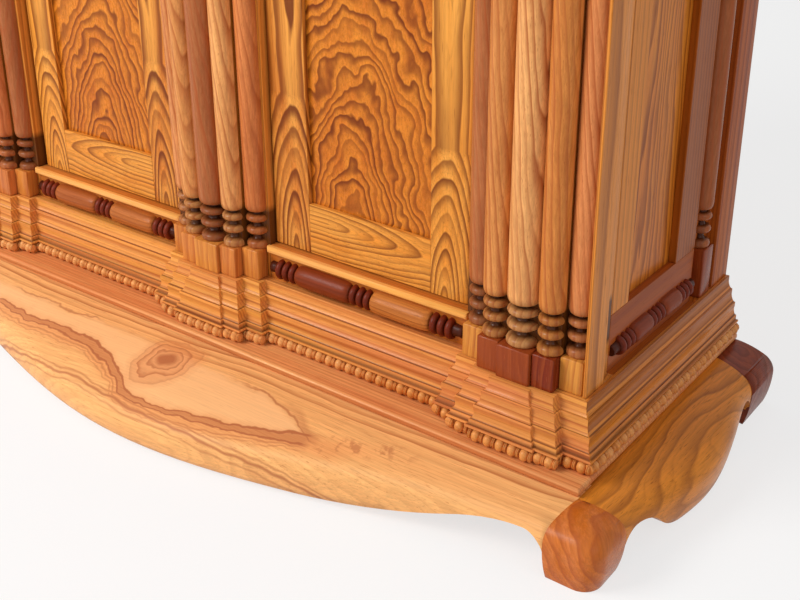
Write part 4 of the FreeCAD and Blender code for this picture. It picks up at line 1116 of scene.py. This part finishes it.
class CABINET_OT_columns(bpy.types.Operator):
    """Make the split columns with their bobbins"""

    bl_idname = "cabinet.columns"
    bl_label = "Columns"

    def execute(self, context):
        sizes = context.scene.cabinet_turnings
        finish = wood("column_figure")
        for kind, radius, segments in (
            ("small", sizes.small_radius, SMALL_SEGMENTS),
            ("large", sizes.large_radius, LARGE_SEGMENTS),
        ):
            stations = column_stations(radius, COLUMN_FOOT, COLUMN_HEAD)
            column = split_turning(f"{kind}_column", stations, segments)
            places = column_places(kind == "large")
            turning_row(f"{kind}_columns", column, places, finish, f"columns_{kind}")
        stations = column_stations(sizes.side_radius, SIDE_COLUMN_FOOT, SIDE_COLUMN_HEAD)
        column = split_turning("side_column", stations, SMALL_SEGMENTS)
        low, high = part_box("columns_side")
        depth = (low.y + high.y) / 2
        places = [
            ((side * NICHE_FACE, depth, 0.0), tone, side * QUARTER)
            for side, tone in zip((1, -1), SIDE_COLUMN_TONES)
        ]
        turning_row("side_columns", column, places, finish, "columns_side")
        return {"FINISHED"}


def toned_shape():
    """An empty shape with room for each vertex's tone and grain shift."""
    shape = bmesh.new()
    tone = shape.verts.layers.float.new("tone")
    grain = shape.verts.layers.float_vector.new("grain")
    return shape, tone, grain


def blocks(name, items, finish, node):
    """Eased blocks (low corner, high corner, tone) as one piece."""
    ease = bpy.context.scene.cabinet_turnings.pedestal_bevel
    shape, tone, grain = toned_shape()
    for number, (low, high, shade) in enumerate(items):
        middle = (Vector(low) + Vector(high)) / 2
        spread = Matrix.Translation(middle) @ Matrix.Diagonal((*(Vector(high) - Vector(low)), 1.0))
        made = bmesh.ops.create_cube(shape, size=1.0, matrix=spread)["verts"]
        edges = {edge for vert in made for edge in vert.link_edges}
        cut = bmesh.ops.bevel(
            shape, geom=list(edges), offset=ease, offset_type="OFFSET", segments=3, profile=0.5,
            affect="EDGES",
        )
        for vert in set(made) | set(cut["verts"]):
            if vert.is_valid:
                vert[tone] = shade
                vert[grain] = grain_shift(number, BLOCK_SHIFT)
    return settle(name, skin(name, shape, BLOCK_SHARP), finish, node)


def pedestal_blocks(foot, head, tones):
    """Blocks under or over the columns of all clusters."""
    half = SMALL_PITCH / 2
    spots = (
        (-OUTER_COLUMN, half, FRONT_PLANE, STEP_REACHES[0]),
        (-LARGE_PITCH, half, RAISED_FACE, STEP_REACHES[1]),
        (0.0, STEP_EDGES[2], RAISED_FACE, STEP_REACHES[2]),
        (LARGE_PITCH, half, RAISED_FACE, STEP_REACHES[1]),
        (OUTER_COLUMN, half, FRONT_PLANE, STEP_REACHES[0]),
    )
    items = []
    for middle, row in zip(CLUSTERS, tones):
        for (offset, reach, wall, out), shade in zip(spots, row):
            x = middle + offset
            items.append(((x - reach, FRONT_PLANE - out, foot), (x + reach, wall, head), shade))
    return items


class CABINET_OT_pedestals(bpy.types.Operator):
    """Make the pedestals and the capital blocks"""

    bl_idname = "cabinet.pedestals"
    bl_label = "Pedestals"

    def execute(self, context):
        finish = wood("pedestal_figure")
        items = pedestal_blocks(MOULDING_TOP, COLUMN_FOOT, PEDESTAL_TONES)
        blocks("pedestal_blocks", items, finish, "pedestals")
        items = pedestal_blocks(COLUMN_HEAD, CORNICE_FOOT, PEDESTAL_TONES[::-1])
        blocks("capital_blocks", items, finish, "capitals")
        low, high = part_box("pedestals_side")
        right, left = SIDE_PEDESTAL_TONES
        items = []
        for foot, head in ((low.z, SIDE_COLUMN_FOOT), (SIDE_COLUMN_HEAD, high.z)):
            items.append(((NICHE_FACE, low.y, foot), (high.x, high.y, head), right))
            items.append(((low.x, low.y, foot), (-NICHE_FACE, high.y, head), left))
        blocks("side_pedestal_blocks", items, finish, "pedestals_side")
        return {"FINISHED"}


# Turned forms of a spindle: shares of its radius, with their places along a barrel or a tip
BARREL = ((0.70, 0.004), (0.83, 0.018), (0.91, 0.045), (0.96, 0.09), (0.99, 0.15), (1.0, 0.24))
BARREL_TONES = {"spindles_front": ((0.42, 0.50), (0.18, 0.66)), "spindles_side": ((0.14, 0.22), (0.14, 0.22))}
RING_COUNT = 3
RING_GAP = 0.0009
RING_TONE = 0.03
NECK_SPARE = 0.001
TIP_LONG = 0.0015


def spindle_stations(length, radius, tones):
    """Place along the spindle, radius and tone: rings at the ends and the middle, and two toned barrels."""
    pitch = bpy.context.scene.cabinet_turnings.ring_pitch
    group_long = RING_COUNT * pitch
    neck = pitch + NECK_SPARE
    half = length / 2
    starts = (-half + neck, -group_long / 2, half - neck - group_long)

    def rings(start):
        marks = []
        for number in range(RING_COUNT):
            foot = start + number * pitch
            for share, rise in lens(foot + RING_GAP, foot + pitch - RING_GAP, 0.56, 0.93, 8):
                marks.append((rise, share * radius, RING_TONE))
        return marks

    def barrel(start, end, tone):
        shares = BARREL + tuple((share, 1 - place) for share, place in reversed(BARREL))
        return [(start + (end - start) * place, share * radius, tone) for share, place in shares]

    tip = [(-half, 0.46, 0.1), (-half + TIP_LONG, 0.54, 0.1), (-half + 0.5 * neck, 0.50, 0.06)]
    marks = [(along, share * radius, tone) for along, share, tone in tip]
    marks += rings(starts[0]) + barrel(starts[0] + group_long, starts[1], tones[0])
    marks += rings(starts[1]) + barrel(starts[1] + group_long, starts[2], tones[1])
    marks += rings(starts[2])
    return marks + [(-along, share * radius, tone) for along, share, tone in reversed(tip)]


def spindles(name, length, radius, places, finish, node):
    """Split spindles with a tone at each station. A place leads from the spindle's own axis Z, facing -Y."""
    marks = spindle_stations(length, radius, BARREL_TONES[node][0])
    stations = [(across, along) for along, across, _ in marks]
    pattern = split_turning(f"{name}_pattern", stations, SPINDLE_SEGMENTS)
    shape, tone, grain = toned_shape()
    for number, matrix in enumerate(places):
        first = len(shape.verts)
        shape.from_mesh(pattern)
        shape.verts.ensure_lookup_table()
        marks = spindle_stations(length, radius, BARREL_TONES[node][number])
        shades = [shade for _, _, shade in marks for _ in range(SPINDLE_SEGMENTS + 1)]
        for index, shade in enumerate(shades):
            vert = shape.verts[first + index]
            vert.co = matrix @ vert.co
            vert[tone] = shade
            vert[grain] = grain_shift(number, SPINDLE_SHIFT)
    bmesh.ops.recalc_face_normals(shape, faces=shape.faces)
    bpy.data.meshes.remove(pattern)
    return settle(name, skin(name, shape, TURNING_SHARP), finish, node)


class CABINET_OT_spindles(bpy.types.Operator):
    """Make the split spindles on the lower rails"""

    bl_idname = "cabinet.spindles"
    bl_label = "Spindles"

    def execute(self, context):
        sizes = context.scene.cabinet_turnings
        low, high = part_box("spindles_front")
        bay = (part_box("rail_lower_right")[0].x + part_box("rail_lower_right")[1].x) / 2
        length = 2 * (high.x - bay)
        level = (low.z + high.z) / 2
        lay = Matrix.Rotation(QUARTER, 4, "Y")
        places = [Matrix.Translation((side * bay, FRONT_PLANE, level)) @ lay for side in (-1, 1)]
        radius = sizes.spindle_radius
        finish = wood("spindle_figure_x")
        spindles("front_spindles", length, radius, places, finish, "spindles_front")
        low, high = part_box("spindles_side")
        radius = sizes.side_spindle
        wall = high.x - radius
        middle = Vector((0.0, (low.y + high.y) / 2, (low.z + high.z) / 2))
        places = []
        for side in (1, -1):
            turned = Matrix.Rotation(side * QUARTER, 4, "Z") @ Matrix.Rotation(side * QUARTER, 4, "Y")
            places.append(Matrix.Translation(middle + Vector((side * wall, 0.0, 0.0))) @ turned)
        length = high.y - low.y
        finish = wood("spindle_figure_y")
        spindles("side_spindles", length, radius, places, finish, "spindles_side")
        return {"FINISHED"}


def cluster_corners(place, out):
    """Corners of the band round one cluster, from the left. A corner cluster has no outer step."""
    corners = []
    for sign, order in ((-1, (0, 1, 2)), (1, (2, 1, 0))):
        for level in order:
            if level == 0 and sign == place:
                continue
            x = CLUSTERS[place + 1] + sign * (STEP_EDGES[level] + out)
            outer = FRONT_PLANE - out - (STEP_REACHES[level - 1] if level else BAY_REACH)
            inner = FRONT_PLANE - out - STEP_REACHES[level]
            corners += [(x, outer), (x, inner)] if sign < 0 else [(x, inner), (x, outer)]
    return corners


LEAST_RUN = 0.006


def runs(corners, spare):
    """Straight runs between corners, each shortened where it meets an inner corner."""
    made = []
    for number in range(len(corners) - 1):
        start = Vector((*corners[number], 0.0))
        end = Vector((*corners[number + 1], 0.0))
        way = (end - start).normalized()
        for side, index in ((1, number - 1), (-1, number + 2)):
            if not 0 <= index < len(corners):
                continue
            near = start if side > 0 else end
            other = Vector((*corners[index], 0.0))
            bend = way.cross((near - other) if side > 0 else (other - near)).z * side
            if bend < 0 and side > 0:
                start = start + way * spare
            elif bend > 0 and side < 0:
                end = end - way * spare
        if (end - start).dot(way) > LEAST_RUN:
            made.append((start, end))
    return made


class CABINET_OT_beads(bpy.types.Operator):
    """Carve the rows of beads and reels along the base moulding"""

    bl_idname = "cabinet.beads"
    bl_label = "Bead Rows"

    def execute(self, context):
        sizes = context.scene.cabinet_beads
        level = (STRIP_LOW.z + STRIP_HIGH.z) / 2
        end = HALF_WIDTH + BAND_OUT
        line = FRONT_PLANE - BAND_OUT - STEP_REACHES[0]
        front = [(-end, line)]
        for place in (-1, 0, 1):
            front += cluster_corners(place, BAND_OUT)
        front.append((end, line))
        side = [(end, line), (end, BACK_PLANE - sizes.reel_width)]
        paths = {"front": front, "right": side, "left": [(-x, y) for x, y in side]}
        values = {
            "Pitch": sizes.pitch,
            "Bead Length": sizes.bead_length,
            "Bead Radius": sizes.bead_radius,
            "Reel Width": sizes.reel_width / 2,
            "Reel Radius": sizes.reel_radius,
            "Wood": wood("bead_figure"),
        }
        for where, corners in paths.items():
            lines = runs(corners, sizes.bead_radius / 2)
            spots = [(spot.x, spot.y, level) for run in lines for spot in run]
            path = bpy.data.meshes.new(f"bead_path_{where}")
            path.from_pydata(spots, [(2 * n, 2 * n + 1) for n in range(len(lines))], [])
            row = grown(f"bead_row_{where}", path, bead_tree(), values)
            settle(f"bead_row_{where}", row, values["Wood"], f"bead_strip_{where}")
        return {"FINISHED"}


class CABINET_OT_stand(bpy.types.Operator):
    """Dress the aprons, the kneeling feet and the back rail of the stand"""

    bl_idname = "cabinet.stand"
    bl_label = "Stand"

    def execute(self, context):
        swell("apron_front", apron_wood())
        for side in SIDES:
            swell(f"apron_{side}", wood("side_apron_figure"))
            round_knee(f"foot_front_{side}", wood("foot_figure"))
            swell(f"foot_rear_{side}", wood("rear_foot_figure"))
        board("stand_rail_back", wood("level_inner_figure"))
        return {"FINISHED"}


class CABINET_OT_base(bpy.types.Operator):
    """Dress the base board and the base moulding"""

    bl_idname = "cabinet.base"
    bl_label = "Base"

    def execute(self, context):
        board("base_board", wood("board_figure"))
        finish = wood("front_moulding_figure")
        board("base_moulding_front", finish, flat=False, hollows=True)
        for side in SIDES:
            board(f"base_moulding_{side}", wood("side_moulding_figure"), hollows=True)
        return {"FINISHED"}


class CABINET_OT_posts(bpy.types.Operator):
    """Dress the posts and the rails of the bays"""

    bl_idname = "cabinet.posts"
    bl_label = "Posts and Rails"

    def execute(self, context):
        for node in ("post_left", "post_middle", "post_right"):
            board(node, wood("post_figure"))
        for node in ("post_rear_left", "post_rear_right"):
            board(node, wood("rear_post_figure"))
        for node in ("rail_lower_left", "rail_lower_right", "rails_upper"):
            board(node, wood("rail_figure"))
        swell("ledges", wood("ledge_figure"))
        return {"FINISHED"}


class CABINET_OT_sides(bpy.types.Operator):
    """Dress the frames and panels of the sides"""

    bl_idname = "cabinet.sides"
    bl_label = "Sides"

    def execute(self, context):
        for side in SIDES:
            board(f"side_panel_{side}", wood("side_panel_figure"))
        board("side_stiles", wood("side_frame_figure"))
        for node in ("side_rails_lower", "side_rails_upper"):
            board(node, wood("side_rail_figure"))
        return {"FINISHED"}


class CABINET_OT_inside(bpy.types.Operator):
    """Dress the floor, the partition and the back"""

    bl_idname = "cabinet.inside"
    bl_label = "Inside and Back"

    def execute(self, context):
        board("floor_panel", wood("level_inner_figure"))
        board("partition", wood("inner_figure"))
        board("back_panel", wood("inner_figure"))
        return {"FINISHED"}


class CABINET_OT_doors(bpy.types.Operator):
    """Dress the doors with their panels, knobs and pivots"""

    bl_idname = "cabinet.doors"
    bl_label = "Doors"

    def execute(self, context):
        for side in SIDES:
            board(f"door_{side}_panel", wood(f"door_panel_{side}_figure"))
            board(f"door_{side}_stile_lock", wood("door_stile_figure"))
            board(f"door_{side}_stile_hinge", wood("hinge_stile_figure"))
            for rail in ("top", "bottom"):
                board(f"door_{side}_rail_{rail}", wood("door_rail_figure"))
            swell(f"knob_{side}", wood("knob_figure"))
        brass = brass_finish()
        for side in SIDES:
            pins = frame["nodes"][f"pivots_{side}"].data
            pins.materials.clear()
            pins.materials.append(brass)
        return {"FINISHED"}


class CABINET_OT_top(bpy.types.Operator):
    """Dress the cornice and the top board"""

    bl_idname = "cabinet.top"
    bl_label = "Top"

    def execute(self, context):
        board("cornice_front", wood("front_moulding_figure"), flat=False)
        for side in SIDES:
            board(f"cornice_{side}", wood("side_moulding_figure"))
        board("top_board", wood("top_figure"))
        return {"FINISHED"}


WHITE = (1.0, 1.0, 1.0, 1.0)
FLOOR_REACH = 9.0
FLOOR_WHITE = 0.7
LAMP_TARGET = (0.1, 0.0, 0.45)
PICTURE_WIDTH = 800
PICTURE_SHIFT = (-10.8, -70.4)


def lamp(name, place, width, power, shade):
    """A large soft lamp aimed at the cabinet."""
    light = bpy.data.lights.new(name, "AREA")
    light.shape = "SQUARE"
    light.size = width
    light.energy = power
    light.color = shade
    lit = bpy.data.objects.new(name, light)
    lit.location = place
    lit.rotation_euler = (Vector(LAMP_TARGET) - Vector(place)).to_track_quat("-Z", "Y").to_euler()
    bpy.context.scene.collection.objects.link(lit)


def background_rays(tree):
    """One for the rays that see the background: straight, mirrored or through glass."""
    rays = add_node(tree, "ShaderNodeLightPath").outputs
    seen = Wire(rays["Is Camera Ray"]).math("MAXIMUM", Wire(rays["Is Glossy Ray"]))
    return seen.math("MAXIMUM", Wire(rays["Is Transmission Ray"]))


def floor_paint(backdrop):
    """Pale paint that the camera sees nearly white, with the shadow left on it."""
    paint = blank_material("floor_paint")
    tree = paint.node_tree
    inputs = {"Base Color": (*backdrop, 1.0), "Roughness": 0.9, "Specular IOR Level": 0.1}
    pale = wire(tree, "ShaderNodeBsdfPrincipled", inputs)
    white = wire(tree, "ShaderNodeEmission", {"Color": WHITE, "Strength": 1.0})
    lifted = wire(tree, "ShaderNodeMixShader", {0: background_rays(tree) * FLOOR_WHITE, 1: pale, 2: white})
    add_node(tree, "ShaderNodeOutputMaterial", {"Surface": lifted})
    return paint


def studio(ambient):
    """An even world, white where the background is seen."""
    world = bpy.data.worlds.new("studio")
    world.use_nodes = True
    tree = world.node_tree
    tree.nodes.clear()
    strength = background_rays(tree).between(0.0, 1.0, ambient, 1.0)
    sky = wire(tree, "ShaderNodeBackground", {"Color": WHITE, "Strength": strength})
    add_node(tree, "ShaderNodeOutputWorld", {"Surface": sky})
    return world


class CABINET_OT_stage(bpy.types.Operator):
    """Set the pale floor, the soft light and the camera"""

    bl_idname = "cabinet.stage"
    bl_label = "Stage"

    def execute(self, context):
        scene = context.scene
        stage = scene.cabinet_stage
        shape = bmesh.new()
        bmesh.ops.create_grid(shape, x_segments=1, y_segments=1, size=FLOOR_REACH)
        mesh = bpy.data.meshes.new("floor")
        shape.to_mesh(mesh)
        shape.free()
        floor = bpy.data.objects.new("floor", mesh)
        scene.collection.objects.link(floor)
        mesh.materials.append(floor_paint(stage.backdrop))
        scene.world = studio(stage.ambient)
        lamp("key_lamp", (-1.7, -2.8, 2.6), 1.9, stage.key_power, (1.0, 0.985, 0.96))
        lamp("fill_lamp", (2.8, -1.0, 1.9), 1.8, stage.fill_power, (1.0, 0.98, 0.95))

        camera = bpy.data.cameras.new("camera")
        camera.sensor_width = 36.0
        camera.lens = stage.lens
        camera.shift_x, camera.shift_y = (shift / PICTURE_WIDTH for shift in PICTURE_SHIFT)
        eye = bpy.data.objects.new("camera", camera)
        eye.location = stage.eye
        eye.rotation_euler = (stage.pitch, 0.0, stage.yaw)
        scene.collection.objects.link(eye)
        scene.camera = eye
        scene.view_settings.view_transform = "Standard"
        return {"FINISHED"}


class CABINET_PT_tools(bpy.types.Panel):
    bl_label = "Altar Cabinet"
    bl_idname = "CABINET_PT_tools"
    bl_space_type = "VIEW_3D"
    bl_region_type = "UI"
    bl_category = "Cabinet"

    def draw(self, context):
        for settings in SETTINGS:
            group = getattr(context.scene, settings)
            column = self.layout.column(align=True)
            for name in group.__annotations__:
                column.prop(group, name)
        for operator in OPERATORS:
            self.layout.operator(operator.bl_idname)


OPERATORS = (
    CABINET_OT_stand,
    CABINET_OT_base,
    CABINET_OT_beads,
    CABINET_OT_posts,
    CABINET_OT_columns,
    CABINET_OT_pedestals,
    CABINET_OT_spindles,
    CABINET_OT_sides,
    CABINET_OT_inside,
    CABINET_OT_doors,
    CABINET_OT_top,
    CABINET_OT_stage,
)
SETTINGS = {
    "cabinet_colours": WoodColours,
    "cabinet_turnings": TurningSizes,
    "cabinet_beads": BeadSizes,
    "cabinet_stage": StageSettings,
}


def register():
    for kind in (*SETTINGS.values(), *OPERATORS, CABINET_PT_tools):
        bpy.utils.register_class(kind)
    for name, kind in SETTINGS.items():
        setattr(bpy.types.Scene, name, bpy.props.PointerProperty(type=kind))


def unregister():
    for name in SETTINGS:
        delattr(bpy.types.Scene, name)
    for kind in (CABINET_PT_tools, *reversed(OPERATORS), *reversed(SETTINGS.values())):
        bpy.utils.unregister_class(kind)


def main():
    register()
    bpy.ops.cabinet.stage()
    bpy.ops.cabinet.stand()
    bpy.ops.cabinet.base()
    bpy.ops.cabinet.beads()
    bpy.ops.cabinet.posts()
    bpy.ops.cabinet.columns()
    bpy.ops.cabinet.pedestals()
    bpy.ops.cabinet.spindles()
    bpy.ops.cabinet.sides()
    bpy.ops.cabinet.inside()
    bpy.ops.cabinet.doors()
    bpy.ops.cabinet.top()


if __name__ == "__main__":
    main()
